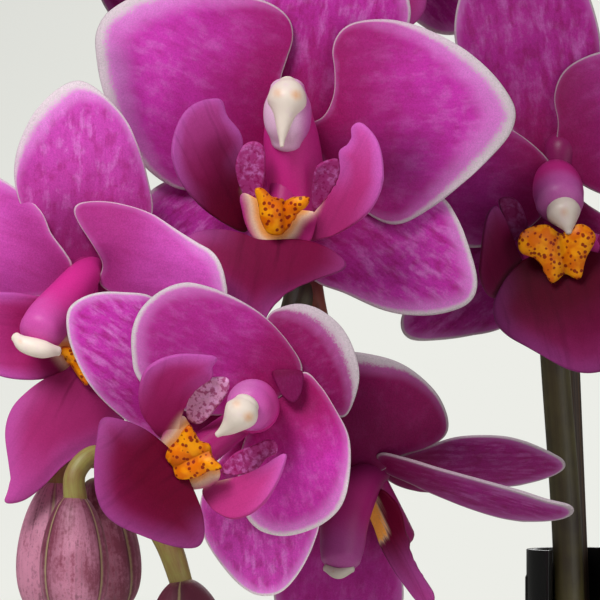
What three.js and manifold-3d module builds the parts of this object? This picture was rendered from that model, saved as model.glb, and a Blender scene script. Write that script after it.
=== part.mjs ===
// Potted miniature moth orchid: one arching flower spike over strap leaves, in a plain round pot.
// Units are millimetres. +Z is up and -Y faces the viewer, who sees the open blooms from the front.
// The origin is the centre of the underside of the outer pot.

import * as THREE from "three";
import { mergeVertices } from "three/addons/utils/BufferGeometryUtils.js";
import Module from "manifold-3d";

const wasm = await Module();
wasm.setup();

// Driving dimensions

const GAP = 0.3;              // air between pieces that touch
const BLADE_THICK = 0.8;      // petals and sepals
const LIP_THICK = 0.9;        // fleshy lobes of the lip
const CALLUS_THICK = 1.3;
const LEAF_THICK = 2.0;

const POT = { height: 88, topRadius: 48, baseRadius: 40, wall: 3.5, floor: 4, sides: 30 };
const LINER = { top: 84, topRadius: 42.9, baseRadius: 34, wall: 1.1, flange: 0.6,
  rim: 43.4, rimHeight: 2.5, sides: 30 };
const DRAIN = { count: 4, radius: 2.6, ring: 20 };
const BARK = { top: 76, chips: 12, chip: [13, 9, 6], ring: 31, seed: 7 };
const SEAM = 0.1;             // shortest edge kept where fused pieces meet
const SPIKE_CUT = 0.35;       // room round the spike where a flower stalk meets it

// Blade tables. Each blade is drawn as it is seen from the front: x to the right and z up, in
// millimetres from the middle of its bloom. base and tip give its midline, and form lists how its
// depth runs, away from the viewer: start, rise and bend along the midline, lean and cup across it,
// and twist.

const BLADES_A = {
  "petal_left": {"base": [-0.7, 0.4], "tip": [-28, 12], "form": [0.3, -6, 7.5, 0, 2, 0], "edge": [
    [-0.7, -0.1], [-1.4, 5.9], [-0.6, 9.1], [0.4, 12.6], [-0.3, 15.8], [-4.1, 18.3], [-12.3, 19.9],
    [-20.3, 19.6], [-26.1, 17], [-28.3, 13.8], [-28.3, 10.1], [-27.4, 5.4], [-25.4, 0.1], [-22.6, -4.5],
    [-18.8, -8.1], [-14.5, -9.6], [-8.4, -8], [-3.8, -3.6]]},
  "petal_right": {"base": [2.9, 0], "tip": [32.9, 1.9], "form": [0.3, -6, 7.5, 0, 2, 0], "edge": [
    [1.4, -0.4], [4.6, 1], [6.2, 4.1], [6.4, 7.7], [6.1, 11.2], [7.4, 13.9], [10.1, 15.2], [14.8, 15.4],
    [19.6, 14.1], [24.4, 11.6], [28.7, 8.3], [31.6, 4.8], [32.9, 1.9], [32, -1.3], [29, -4.8],
    [24.9, -8.6], [20.6, -12], [15.7, -14.5], [11.6, -13.2], [8, -9.4], [3.6, -4.3]]},
  "dorsal": {"base": [1.4, -0.4], "tip": [7.2, 32], "form": [2.4, -2, 3, 0, 1.5, 0], "edge": [
    [0.3, -0.7], [-2.6, 5.8], [-4.3, 13], [-3.9, 21], [-0.7, 28.3], [5.1, 32.3], [10.9, 30.9],
    [15.2, 25.4], [17.3, 18.8], [17.4, 14.9], [14.8, 8.7], [9, 2.9], [4.6, -0.7]]},
  "lateral_left": {"base": [-1.2, -4.3], "tip": [-20.3, -21.8], "form": [2.6, -1, 2, 0, 1, 0], "edge": [
    [-0.7, -3.6], [-6.5, -5.1], [-14.5, -6.8], [-20, -9.1], [-22.9, -13], [-23.2, -18.1],
    [-20.6, -22.5], [-15.2, -24.2], [-9.4, -21.3], [-4.1, -14.5], [0, -8]]},
  "lateral_right": {"base": [0.7, -5.8], "tip": [26.7, -24.2], "form": [2.6, -1.5, 2.5, 0, 1, 0], "edge": [
    [0, -3.6], [7.2, -5.8], [15.9, -7.7], [21.8, -10.1], [24.1, -12.9], [26, -17.4], [27.3, -22.2],
    [26.8, -25.1], [24.4, -26.8], [19.6, -27.7], [13.8, -27], [8, -24.5], [2.9, -22.2], [-0.7, -15.9],
    [-1.4, -8.7]]},
  "side_left": {"base": [-6.4, -13.5], "tip": [-13.8, 2.9], "form": [-4, -9, 2, -2.5, -1.5, 0], "edge": [
    [-6.4, -15.7], [-10.9, -13.5], [-13.9, -10.9], [-15.9, -8], [-16.8, -4.5], [-16.4, -1.3],
    [-15.1, 1.4], [-12.9, 3], [-9.9, 3.3], [-9, 1], [-7.1, -1.4], [-6.8, -3.6], [-7.8, -6.2],
    [-7.2, -9.4], [-6.1, -12]]},
  "side_right": {"base": [2.6, -15.2], "tip": [10.1, -0.1], "form": [-4, -9, 2, 2.5, -1.5, 0], "edge": [
    [2.3, -16.7], [3.2, -13.3], [4.9, -11.3], [6.8, -9.1], [7.4, -6.8], [7, -4.1], [8.7, -2.8],
    [8.8, -0.7], [9.9, 0], [11.3, -1], [12.6, -3], [13.2, -6.2], [12.9, -9.7], [11.3, -12.8],
    [8.7, -14.9], [5.5, -16.4]]},
  "flap_left": {"base": [-5.8, -11.6], "tip": [-5.8, -2.6], "form": [-4.4, -3, 0, 0, -0.5, 0], "edge": [
    [-6.8, -3.3], [-5.4, -2.6], [-3.9, -3.3], [-3.6, -6.2], [-4.1, -9.7], [-4.9, -11.7], [-6.4, -10.9],
    [-7.7, -8], [-7.8, -5.4]]},
  "flap_right": {"base": [3.3, -11.3], "tip": [5.8, -6.2], "form": [-4.4, -3, 0, 0, -0.5, 0], "edge": [
    [3, -11.3], [2.6, -9], [3.3, -7.2], [5.1, -5.9], [6.8, -6.7], [6.8, -8.6], [5.2, -10.3]]},
  "midlobe": {"base": [-1.2, -16.1], "tip": [-4.1, -29.1], "form": [-6, -6, 3, 0, 1.2, 0], "edge": [
    [-6.8, -15.9], [-4.1, -16.8], [1.4, -16.7], [5.1, -17.8], [8, -19.9], [7.5, -21.2], [3.6, -22.6],
    [-0.3, -24.2], [-2.6, -26.2], [-4.1, -29.1], [-6.4, -27.4], [-9, -24.8], [-12.6, -22.5],
    [-15.1, -19], [-14.5, -16.1], [-10.9, -15.2]]},
  "callus": {"base": [-1, -16.1], "tip": [-1, -9.4], "form": [-7.6, -1.2, 0, 0, -0.6, 0], "edge": [
    [-5.1, -9.6], [-3.9, -9.4], [-2.5, -10.7], [-1, -11.3], [0.3, -10.7], [2.8, -10.7], [2.2, -12.2],
    [0.9, -13], [-0.3, -15.2], [-1.7, -16.1], [-3.3, -15.7], [-4.3, -13.8], [-4.6, -11.7]]},
};
const BLADES_B = {
  "dorsal": {"base": [-1.3, 1.1], "tip": [-1.4, 27.2], "form": [1, -3, 1, 0, 1.5, 0], "edge": [
    [-1.9, 0.3], [-5.3, 3.4], [-8.4, 7.4], [-10, 11.5], [-10.2, 15.2], [-9.2, 18.9], [-7.2, 22.6],
    [-4.4, 25.6], [-1.4, 27.2], [1, 26.5], [3.4, 24.5], [5.9, 21.5], [7.7, 17.6], [9, 13.2], [9.7, 8.3],
    [7.6, 4.3], [3.3, 0.7]]},
  "petal_left": {"base": [-2.1, 0.9], "tip": [-24.2, 7.9], "form": [-0.6, 4, 1, -1, 1.5, 0], "edge": [
    [-1.6, 0.3], [-2.7, 2.6], [-4.7, 5.2], [-5.9, 7.9], [-8.4, 10.6], [-12.2, 13.2], [-16.5, 15.3],
    [-21.1, 15.3], [-23.9, 12.2], [-24.5, 7.9], [-23.1, 2.9], [-19.3, -1.4], [-14.3, -3.7],
    [-7.9, -3.9], [-3.3, -2.9]]},
  "petal_right": {"base": [2.4, -0.3], "tip": [20.2, -2.1], "form": [-0.6, -6, -0.5, -1, 1.2, 0], "edge": [
    [2.1, -2.1], [2.6, 0.7], [1.4, 3.2], [-0.4, 6], [-1.6, 8.3], [-0.9, 9.6], [2.6, 9.9], [6.4, 9.2],
    [9.9, 7.9], [13, 5.9], [16.2, 3.9], [18.3, 2.7], [19.6, 0.9], [20.3, -1.7], [20.2, -4.3],
    [16.5, -6.3], [11.5, -6], [6.2, -4.3]]},
  "lateral_right": {"base": [1, -2.3], "tip": [13.3, -16.3], "form": [1.4, 2, 1, 0, 1, 0], "edge": [
    [-0.1, -1.4], [3.6, -0.9], [8.6, -3.7], [12.7, -8.9], [13.9, -14.6], [10.7, -17.5], [6.2, -16],
    [2.1, -11.5], [0, -6.4]]},
  "lateral_left": {"base": [-3, -3.2], "tip": [-20.8, -14.6], "form": [1.4, 4, 1, 0, 1, 0], "edge": [
    [-1.6, -2.1], [-6.4, -3.2], [-12.2, -4.6], [-17.6, -7.4], [-21.1, -11.5], [-21.1, -15.5],
    [-17.9, -16.9], [-13.3, -13.7], [-8.7, -10.7], [-3.9, -7.9]]},
  "side_left": {"base": [-0.7, -9.3], "tip": [-16.5, -8.6], "form": [-5, -3, 2, 0, -1.5, 0], "edge": [
    [-1.9, -4.3], [-6.4, -3.7], [-9.9, -3.2], [-13, -3.4], [-15.6, -5.4], [-16.8, -9.3], [-15.3, -12.9],
    [-12.2, -14.9], [-9, -15.6], [-5.3, -15.5], [-2.1, -14.3], [-0.1, -11.7], [-0.1, -7.4]]},
  "midlobe": {"base": [0.7, -12.6], "tip": [-10.7, -32.7], "form": [-6.5, -6, 2, 0, 1.2, 0], "edge": [
    [-0.1, -11.7], [-2.1, -14], [-5.4, -15.5], [-7.9, -17.3], [-10, -19.6], [-10.9, -22.9],
    [-10.3, -27.5], [-10, -30.6], [-11, -32.9], [-8.3, -32.7], [-5.4, -30.6], [-3.3, -28.2],
    [-1, -26.4], [1.9, -24.9], [5.3, -22.6], [6.2, -18.3], [3.9, -14]]},
  "callus": {"base": [1, -14.6], "tip": [-3, -11.5], "form": [-8.5, -1, 0, 0, -0.5, 0], "edge": [
    [-3.3, -11.2], [-1.9, -10.9], [-0.1, -11.7], [1.6, -14.6], [1, -17.2], [-0.4, -15.5],
    [-1.6, -13.2]]},
};
const BLADES_C = {
  "petal_upper": {"base": [3.2, 2.1], "tip": [-18, 10.4], "form": [0, -4, 4.6, 0, 1.2, 0], "edge": [
    [5.7, 4.7], [3.6, 8.8], [0.3, 12.4], [-3.6, 14.9], [-7.8, 16.6], [-11.1, 17], [-14.2, 15.9],
    [-16.8, 13.6], [-18.1, 10.7], [-18.2, 7.4], [-17.4, 3.8], [-14.2, 0.7], [-8.6, -1.4], [-2.4, -1],
    [2.5, 1]]},
  "petal_right": {"base": [3.6, 1.8], "tip": [8.8, -16.4], "form": [0, -4, 4.6, 0, 1.2, 0], "edge": [
    [5.7, 4.7], [8.2, 2.6], [10.4, -0.8], [12, -3.9], [12.4, -7], [12.1, -10.7], [11.1, -14.1],
    [8.9, -16.4], [6, -17.8], [2.9, -18.4], [0, -17.7], [-2.2, -15.7], [-3.3, -11.8], [-3.1, -7],
    [-1, -1.8], [2.5, 1.8]]},
  "dorsal": {"base": [0, 1.8], "tip": [12.8, 9], "form": [3, -1.5, 1.5, 0, 1, 0], "edge": [
    [0, 1.4], [0, 7.7], [0.7, 12.2], [2.6, 13.6], [5.4, 14.1], [8.4, 13.1], [11, 11], [12.7, 8.1],
    [13.6, 4.6], [13.1, 1.1], [11.4, -1.9], [8.1, -0.4], [3.9, 0.7]]},
  "lateral_left": {"base": [-4.2, -1.5], "tip": [-26.7, 12.4], "form": [4, -1.5, 0.5, 0, 0.8, 0], "edge": [
    [-3.8, -0.7], [-8.6, 6.3], [-12.5, 12.5], [-15.6, 15.2], [-19.2, 15.7], [-22.8, 15.7],
    [-25.6, 14.8], [-27.3, 13.1], [-27.3, 9.9], [-26.2, 6.5], [-24.2, 2.8], [-21.4, -0.4],
    [-17.3, -3.5], [-12.1, -5.7], [-6.5, -4.9]]},
  "lateral_low": {"base": [-1.9, -4.9], "tip": [0.1, -26.9], "form": [4, -1.5, 1, 0, 0.8, 0], "edge": [
    [-1.7, -3.5], [-6.5, -8.4], [-8.6, -13.2], [-8.5, -17.4], [-7.5, -20], [-5.2, -23.2], [-2.6, -25.8],
    [0, -26.9], [2.8, -26.3], [5.3, -23.5], [7.2, -19.6], [8.1, -16], [7, -11.1], [3.2, -5.6]]},
  "side_left": {"base": [-11.7, -4.6], "tip": [-7.9, 7], "form": [-4, -8, 2, -2, -1.5, 0], "edge": [
    [-12, -5.7], [-13.8, -4.6], [-15.3, -2.9], [-16.6, -0.7], [-16.8, 2.1], [-16, 4.7], [-14.1, 6.4],
    [-11.4, 7.2], [-8.6, 7.2], [-6, 6.7], [-6.7, 5.4], [-6.7, 4], [-8.8, 2.6], [-10.3, 1.1],
    [-11.3, -1.4], [-11.4, -3.8]]},
  "side_right": {"base": [-7.5, -11.4], "tip": [3.2, -7], "form": [-4, -8, 2, 2, -1.5, 0], "edge": [
    [-8.2, -11.8], [-7.5, -13.4], [-6, -14.8], [-4, -15.5], [-1.7, -14.8], [0.3, -13.2], [1.8, -11.1],
    [2.9, -8.8], [3.5, -6.5], [2.1, -7], [0.3, -8.2], [-2.4, -9.5], [-5.6, -10.3], [-7.2, -10.6]]},
  "flap_left": {"base": [-9.3, -1.8], "tip": [-5, 3.5], "form": [-4.4, -3, 0, 0, -0.5, 0], "edge": [
    [-4.5, 3.8], [-6.5, 4], [-8.6, 3.2], [-10, 1.4], [-10.4, -0.7], [-10, -2.2], [-8.2, -2.4],
    [-6.1, -0.1], [-4.7, 1.7]]},
  "flap_right": {"base": [-5, -8.8], "tip": [1.7, -5], "form": [-4.4, -3, 0, 0, -0.5, 0], "edge": [
    [2.1, -5], [0.8, -4.6], [-1.1, -5.4], [-3.3, -6.3], [-5, -7.8], [-5.7, -9.3], [-3.3, -9.6],
    [-0.8, -8.9], [0.6, -7.1], [2.1, -6.5]]},
  "midlobe": {"base": [-10.6, -7.9], "tip": [-20, -15.7], "form": [-6, -6, 3, 0, 1.2, 0], "edge": [
    [-22.1, -1.7], [-19.8, -1.7], [-16.7, -2.9], [-13.8, -4.9], [-11.7, -7], [-10.2, -9.7], [-9, -12.4],
    [-8.1, -15], [-7.8, -17.7], [-8.5, -19.3], [-10.3, -19.6], [-12.8, -19.1], [-16.3, -17.8],
    [-19.6, -16.4], [-21.7, -14.6], [-22.8, -11.8], [-23, -7.9], [-22.7, -4.5]]},
  "callus": {"base": [-11.1, -7.9], "tip": [-7, -6], "form": [-7.6, -1.4, 0, 0, -0.6, 0], "edge": [
    [-9.7, -2.4], [-8.8, -4.6], [-7, -5.3], [-6.8, -6.7], [-5.3, -8.5], [-7.2, -8.9], [-8.6, -9.7],
    [-11.4, -10], [-12.2, -8.2], [-13.1, -7], [-12.5, -5.6], [-11.6, -4.7], [-10.6, -3.2]]},
};
const BLADES_D = {
  "petal_near": {"base": [0.1, -1.3], "tip": [2.7, 16], "form": [-1, -9, 2, 0, 2, 0], "edge": [
    [-1.9, -1.9], [-6.7, -0.7], [-10.5, 2.9], [-11.6, 7.9], [-10.5, 12.5], [-7.2, 15.3], [-2.9, 16.3],
    [1, 15.9], [4.7, 14.8], [7.9, 12.7], [10.5, 9.9], [11.9, 6.4], [11.3, 4], [8.2, 2.3], [4.7, 1.3],
    [2.7, -0.7]]},
  "petal_far": {"base": [-1, -3.3], "tip": [-4.2, -28.5], "form": [1, 9, -2, 0, 2, 0], "edge": [
    [-2.9, -1.9], [-6.7, -5], [-10.7, -10], [-13, -15.8], [-12.7, -21.5], [-9.3, -26.5], [-3.6, -28.6],
    [1.9, -26.8], [5.2, -22.2], [5.7, -17.6], [4.2, -13], [1.6, -7.9], [0.1, -3.3]]},
  "dorsal": {"base": [0.4, -0.1], "tip": [-16.9, -4.7], "form": [-1, -3, 0, 0, 1, 0], "edge": [
    [1, -1.9], [-2.9, -3.3], [-7.9, -5], [-12.9, -6.7], [-16.5, -6.2], [-17.3, -3.3], [-15.3, -0.1],
    [-10.7, 2.1], [-5, 2.7], [-0.4, 1.9]]},
  "lateral_far": {"base": [3.3, -0.4], "tip": [29.2, -0.4], "form": [2, 7, -1, -4.5, 0.6, 0], "edge": [
    [2.7, -0.7], [5, 1.3], [9.3, 2.7], [12.9, 3.9], [16.8, 4.2], [20.8, 3.9], [24.5, 2.7], [27.4, 1.4],
    [29.1, 0.3], [29.1, -1], [26.5, -2.3], [22.2, -3.3], [16.5, -3.9], [10.7, -4.3], [6.2, -3.7],
    [3.3, -2.4]]},
  "lateral_near": {"base": [1.9, 0.7], "tip": [29.5, -6.2], "form": [-2, -9, 1, -5, 0.6, 0], "edge": [
    [1.9, 1.9], [5, 1.3], [9.6, -0.1], [15.3, -1.6], [21.1, -3.2], [25.9, -4.7], [28.9, -5.3],
    [29.5, -6.3], [28.1, -7.4], [24.3, -7.9], [19.9, -7.6], [15, -6.2], [10.5, -4.4], [6.2, -2.4],
    [3, -1.1], [1.4, 0.4]]},
  "lip": {"base": [1.6, -4.7], "tip": [9.6, -19.6], "form": [-1.5, -3, 1, -1, -0.8, 0], "edge": [
    [1.9, -3.3], [3.9, -4.7], [5.2, -7], [5.7, -9.5], [6.3, -10.7], [6.3, -12.6], [7.3, -14.5],
    [8.7, -16.6], [9.9, -18.5], [9.5, -19.9], [7.6, -19.6], [5.9, -17.6], [3.9, -14.8], [2.3, -11.9],
    [1.3, -9], [0.4, -6.4]]},
};
const BLADES_E = {
  "dorsal": {"base": [-0.3, -1.8], "tip": [-5.1, 31.8], "form": [2.4, -2, 3, 0, 1.5, 0], "edge": [
    [-2.1, -2.7], [-7, 2.7], [-12.3, 9.3], [-15.6, 15], [-16, 19.8], [-14.4, 25.5], [-10.8, 30],
    [-5.5, 31.8], [-0.3, 30], [3.6, 24.9], [5.5, 19.5], [6.1, 14.7], [5.4, 8.2], [3.4, 1.5],
    [1.5, -2.7]]},
  "petal_right": {"base": [0.3, -2.2], "tip": [22.5, 4.8], "form": [0.3, -6, 7.5, 0, 2, 0], "edge": [
    [0, -2.7], [-0.9, 0.7], [-0.6, 4.2], [-1.2, 7.8], [-0.3, 11.1], [1.8, 13.2], [5.7, 14.8],
    [11.7, 15.6], [18.3, 13.2], [22.5, 7.5], [21.9, 0.7], [17.1, -5.1], [10.2, -7.5], [4.2, -6]]},
  "petal_left": {"base": [-1.5, -2.7], "tip": [-24.9, -2.2], "form": [0.3, -6, 7.5, 0, 2, 0], "edge": [
    [-0.9, -3.3], [-4.8, 1.2], [-11.1, 4.8], [-17.4, 6.3], [-22.8, 3.9], [-25.2, -1.5], [-24.3, -7.8],
    [-19.8, -12.9], [-13, -14.7], [-6.3, -12.7], [-1.8, -8.2]]},
  "lateral_left": {"base": [-0.9, -7.5], "tip": [-24, -26.2], "form": [2.8, -1.5, 2.5, 0, 1, 0], "edge": [
    [-0.9, -6], [-7.8, -9.7], [-15, -14.2], [-21, -19.2], [-23.8, -24.3], [-24.1, -27], [-22.5, -28.6],
    [-18.3, -28.6], [-13.5, -27.9], [-8.1, -26.4], [-2.5, -21], [1.2, -12]]},
  "lateral_right": {"base": [1.5, -8.2], "tip": [23.7, -24], "form": [2.8, -1.5, 2.5, 0, 1, 0], "edge": [
    [0.6, -6], [5.7, -9.3], [13.2, -12.7], [20.7, -16.8], [24, -21.7], [22.9, -26.2], [18, -27.6],
    [11.7, -24.7], [5.7, -19.5], [1.5, -12.7]]},
  "side_left": {"base": [-6.3, -16.8], "tip": [-9, -7.6], "form": [-4, -8, 2, -2, -1.5, 0], "edge": [
    [-4.8, -16.8], [-7.5, -18.3], [-9.3, -21], [-11.4, -21.6], [-12.6, -18.9], [-12.3, -15.3],
    [-10.9, -11.7], [-9.3, -8.7], [-7.2, -7.5], [-5.7, -9.7], [-6, -13.2]]},
  "side_right": {"base": [4.2, -16.8], "tip": [11.7, -7.5], "form": [-4, -8, 2, 2, -1.5, 0], "edge": [
    [3.9, -16.8], [7.2, -18.3], [10.8, -17.7], [13.5, -14.4], [13.5, -10.2], [11.1, -7.2], [7.8, -8.1],
    [6, -11.1], [4.8, -14.1]]},
  "midlobe": {"base": [-0.9, -15.9], "tip": [3.6, -33.3], "form": [-6, -6, 3, 0, 1.2, 0], "edge": [
    [-5.7, -16.2], [-8.4, -18.9], [-10.5, -22.5], [-10.5, -25.5], [-8.8, -27.7], [-5.7, -29.5],
    [-2.5, -31.3], [0.3, -32.8], [3.3, -33.4], [6.6, -32.7], [11.4, -30], [15.3, -25.8], [14.7, -21.3],
    [10.5, -17.4], [4.2, -15.3], [-0.9, -14.7]]},
  "callus": {"base": [0, -19.5], "tip": [-1.5, -11.7], "form": [-8.2, -1, 0, 0, -0.6, 0], "edge": [
    [-6.9, -12.9], [-5.1, -11.7], [-2.7, -11.4], [-0.9, -12.9], [0.6, -11.7], [2.7, -11.4],
    [4.5, -13.2], [3, -16.2], [2.1, -19.5], [0, -18.6], [-2.1, -20.1], [-3.3, -17.7], [-4.8, -16.2],
    [-6.9, -15.3]]},
};

// Columns, anther caps and stalks of the blooms, as [x, y, z, radius] from the middle of the bloom,
// but the stalks in the pot's frame, since they run back to the spike.

const BLOOMS = {
  bloom_a: {
    at: [-23.4, -55, 300.4], blades: BLADES_A,
    column: [[-0.6, -0.4, -12.5, 3.4], [-0.4, -1.4, -6, 4], [-0.3, -4, 0, 3.9], [-0.3, -6.6, 3.4, 3.3]],
    cap: [[-0.2, -9.4, 6, 1.5], [-0.4, -10.3, 3.6, 2.7], [-0.8, -10.2, 0, 1.8], [-1.2, -9.6, -3.5, 0.35]],
    stalk: [[-23.4, -53.5, 299.5, 1.6], [-23, -46, 301.5, 1.4], [-22.5, -38, 302, 1.4],
      [-22.2, -29.6, 300, 1.6]],
  },
  bloom_b: {
    at: [-52.8, -63, 279.3], blades: BLADES_B,
    column: [[1.6, -0.6, -0.4, 2.8], [-1.4, -4.6, -2.9, 3.3], [-4.7, -8.6, -6.4, 3.2], [-6.4, -10.6, -9, 2.7]],
    cap: [[-8.8, -12, -9.9, 1.1], [-6.8, -13.2, -10.9, 1.8], [-4.2, -12.4, -11.6, 0.9]],
    stalk: [[-52.6, -61.5, 279.3, 1.6], [-51, -53, 279.8, 1.4], [-47, -46.5, 281.5, 1.3],
      [-40, -43, 284.5, 1.3], [-31, -40, 288, 1.4], [-22.4, -37.4, 289.2, 1.6]],
  },
  bloom_c: {
    at: [-27.3, -81, 260.4], blades: BLADES_C,
    column: [[-1, 0, -0.6, 3.2], [-1.2, -4.6, 0, 3.6], [-1.5, -8.6, -0.3, 3.4]],
    cap: [[-1.4, -12.2, 1, 2], [-2.5, -13, -0.8, 2.7], [-4.2, -12.4, -2.7, 1.5], [-6, -11.5, -3.9, 0.35]],
    stalk: [[-27.3, -80, 260.4, 1.6], [-27.2, -70, 260.8, 1.4], [-27.4, -61, 262, 1.4],
      [-27.8, -53.5, 263.5, 1.6]],
  },
  bloom_d: {
    at: [-12.7, -63, 251.4], blades: BLADES_D,
    column: [[1.4, -0.8, -0.7, 2.8], [-1.8, -4, -5, 3.5], [-2.8, -7, -9.9, 3.6], [-3.2, -8, -12.2, 2.9]],
    cap: [[-4.9, -8.5, -13.7, 0.9], [-3.2, -9, -14.3, 1.3], [-1.6, -8.5, -13.6, 0.8]],
    stalk: [[-12.9, -62, 251.8, 1.6], [-13.6, -58.5, 255, 1.4], [-16, -52, 262, 1.4],
      [-19.2, -47.5, 272, 1.5], [-20.8, -45.6, 280, 1.7]],
  },
  bloom_e: {
    at: [17.3, -33, 297.5], blades: BLADES_E,
    column: [[0, -0.4, -1.5, 3.2], [-0.3, -4.4, -4.5, 3.6], [-0.6, -8, -8.2, 3.2]],
    cap: [[-2, -9.8, -9.2, 1.1], [-0.3, -11, -10.6, 1.9], [1.5, -9.9, -9.5, 1.1]],
    stalk: [[17.3, -32, 297.5, 1.6], [17.6, -22, 297, 1.4], [17.2, -8, 299, 1.4], [16.2, 3.6, 303, 1.6]],
  },
  bloom_f: {
    at: [-14, -24, 346], blades: BLADES_E, roll: 10, behind: true,
    stalk: [[-14, -23.5, 346.5, 1.6], [-14, -20.5, 350, 1.4], [-13.2, -17.5, 354, 1.4],
      [-12, -14.4, 356.6, 1.6]],
  },
  bloom_g: {
    at: [-40, -44, 340], blades: BLADES_A, roll: 40, behind: true,
    stalk: [[-40, -43.5, 340, 1.6], [-39, -38, 331, 1.4], [-33, -32, 316, 1.4],
      [-27, -26.5, 309.5, 1.4], [-21.8, -22.6, 310.4, 1.6]],
  },
};
BLOOMS.bloom_f.column = BLOOMS.bloom_e.column;
BLOOMS.bloom_f.cap = BLOOMS.bloom_e.cap;
BLOOMS.bloom_g.column = BLOOMS.bloom_a.column;
BLOOMS.bloom_g.cap = BLOOMS.bloom_a.cap;

// The spike climbs from the leaf axil, arches over towards the viewer and hangs down behind the
// open blooms to the buds. Each entry is [x, y, z, radius].

const SPIKE = [
  [2, -4, 84, 2.6], [9, -9.5, 92, 2.6], [14.5, -10, 112, 2.5], [18.6, -4.5, 150, 2.4],
  [20.4, 1.5, 190, 2.4], [20.7, 3.8, 215, 2.4], [20.3, 5, 238, 2.4], [18.4, 5, 265, 2.3],
  [16.1, 4, 298, 2.3], [13.6, 0.5, 324, 2.2], [9, -4.5, 346, 2.2], [2, -9, 360, 2.2],
  [-6, -12, 363.5, 2.2], [-13, -14, 355, 2.2], [-18, -16, 340, 2.2], [-20.4, -17.6, 326, 2.2],
  [-21.6, -20.8, 313, 2.2], [-22.3, -29, 300, 2.2], [-22.3, -38, 288.5, 2.3], [-21.6, -45.4, 277, 2.6],
  [-24.4, -49, 269, 2.3], [-29.4, -55, 261.4, 2.2], [-35.6, -61, 255, 2.1], [-41.3, -65, 249.6, 2],
  [-45.3, -67, 246.4, 1.2],
];

const STAKE = { foot: [29.9, -11.3, 22], top: [20.1, 15.6, 298], radius: 1.5, sides: 8 };

// Buds hang from stalks that leave the end of the spike. at is the middle of the bud, size its
// radius and half length, and lean tips it about the line of sight, in degrees.

const BUDS = {
  bud_front: { at: [-53.6, -77, 238.7], size: [4.9, 9.3], lean: 0, stalk: [
    [-53.4, -77, 246.2, 1.7], [-53.5, -77, 250.6, 1.5], [-51, -75.6, 253.2, 1.4], [-47.4, -71.5, 252.3, 1.3],
    [-44, -67.2, 249.6, 1.4]] },
  bud_left: { at: [-57.4, -66.5, 239.6], size: [4.9, 9.9], lean: 4, stalk: [
    [-57, -66.5, 248, 1.6], [-55.6, -65.5, 251.6, 1.4], [-50, -63.2, 252, 1.3], [-44.3, -63.4, 248.8, 1.3]] },
  bud_right: { at: [-50.2, -58.2, 239.7], size: [4.9, 9.8], lean: -9, stalk: [
    [-48.9, -58.2, 247.8, 1.6], [-47.6, -58.4, 251.4, 1.4], [-44, -59.8, 252.8, 1.3], [-40.2, -63.6, 250.6, 1.4]] },
  bud_low: { at: [-37.8, -73, 228.2], size: [5.6, 7.6], lean: -6, stalk: [
    [-38.5, -73, 234.4, 1.6], [-40.4, -71.8, 240, 1.8], [-42.8, -70, 243.8, 1.7], [-45.4, -67.4, 246.2, 1.4]] },
};

// Leaves in two ranks. turn is the compass turn of the midrib, base the height of the joint, rise the
// slope at the joint in degrees, and droop how far the slope falls by the tip.

const LEAVES = [
  { name: "leaf_1", turn: 42, base: 84, length: 112, width: 38, rise: 24, droop: 66 },
  { name: "leaf_2", turn: 214, base: 86, length: 106, width: 37, rise: 27, droop: 66 },
  { name: "leaf_3", turn: 54, base: 90, length: 96, width: 35, rise: 40, droop: 64 },
  { name: "leaf_4", turn: 228, base: 92, length: 88, width: 33, rise: 44, droop: 64 },
  { name: "leaf_5", turn: 66, base: 96, length: 66, width: 28, rise: 58, droop: 56 },
  { name: "leaf_6", turn: 243, base: 98, length: 44, width: 20, rise: 68, droop: 40 },
];

// Short stem and its roots, as [x, y, z, radius]

const STEM = [[0, 0, 62, 5.6], [0, 0, 80, 7], [0, 0, 98, 6], [0, 0, 108, 2.6]];
const ROOTS = [
  [[0, 0, 74, 2.2], [-12, -9, 81.5, 2.1], [-23, -16, 82, 2], [-29, -19, 77, 2], [-30, -17, 69, 1.8]],
  [[0, 0, 74, 2.2], [6, -13, 81, 2.1], [7, -25, 82, 2], [5, -32, 76, 2], [4, -33, 67, 1.8]],
  [[0, 0, 74, 2.2], [12, 11, 81, 2.1], [20, 21, 81.5, 2], [23, 24, 74, 1.8]],
  [[0, 0, 74, 2.2], [-7, 15, 81, 2.1], [-12, 26, 81.5, 2], [-15, 30, 74, 1.8]],
  [[0, 0, 68, 2.1], [-14, 4, 64, 2], [-22, 8, 50, 1.8]],
  [[0, 0, 68, 2.1], [9, -4, 60, 2], [16, -8, 42, 1.8]],
];

// Snap clip that holds the spike to the stake

const CLIP = {
  centre: [21.6, 6.4], bottom: 215.5, top: 235.5, inside: [4.8, 6.4], wall: 1.3, mouth: 0.62,
  grip: 10, thumb: { out: 2.4, shoulder: 4.5, chamfer: 0.6 }, slots: 5, slot: 2, pitch: 3.6, rim: 3,
};

// Solids and meshes

function toSolid(geometry, matrix) {
  const bare = geometry.index ? geometry.toNonIndexed() : geometry.clone();
  if (matrix) bare.applyMatrix4(matrix);
  bare.deleteAttribute("normal");
  bare.deleteAttribute("uv");
  const merged = mergeVertices(bare, 1e-4);
  const ids = merged.index.array;
  const kept = [];
  for (let i = 0; i < ids.length; i += 3) {
    const [a, b, c] = [ids[i], ids[i + 1], ids[i + 2]];
    if (a !== b && b !== c && c !== a) kept.push(a, b, c);
  }
  return new wasm.Manifold(new wasm.Mesh({
    numProp: 3,
    vertProperties: new Float32Array(merged.attributes.position.array),
    triVerts: new Uint32Array(kept),
  }));
}

function toGeometry(solid) {
  const mesh = solid.getMesh();
  const geometry = new THREE.BufferGeometry();
  geometry.setAttribute("position", new THREE.BufferAttribute(mesh.vertProperties, mesh.numProp));
  geometry.setIndex(new THREE.BufferAttribute(mesh.triVerts, 1));
  geometry.computeVertexNormals();
  return geometry;
}

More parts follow.
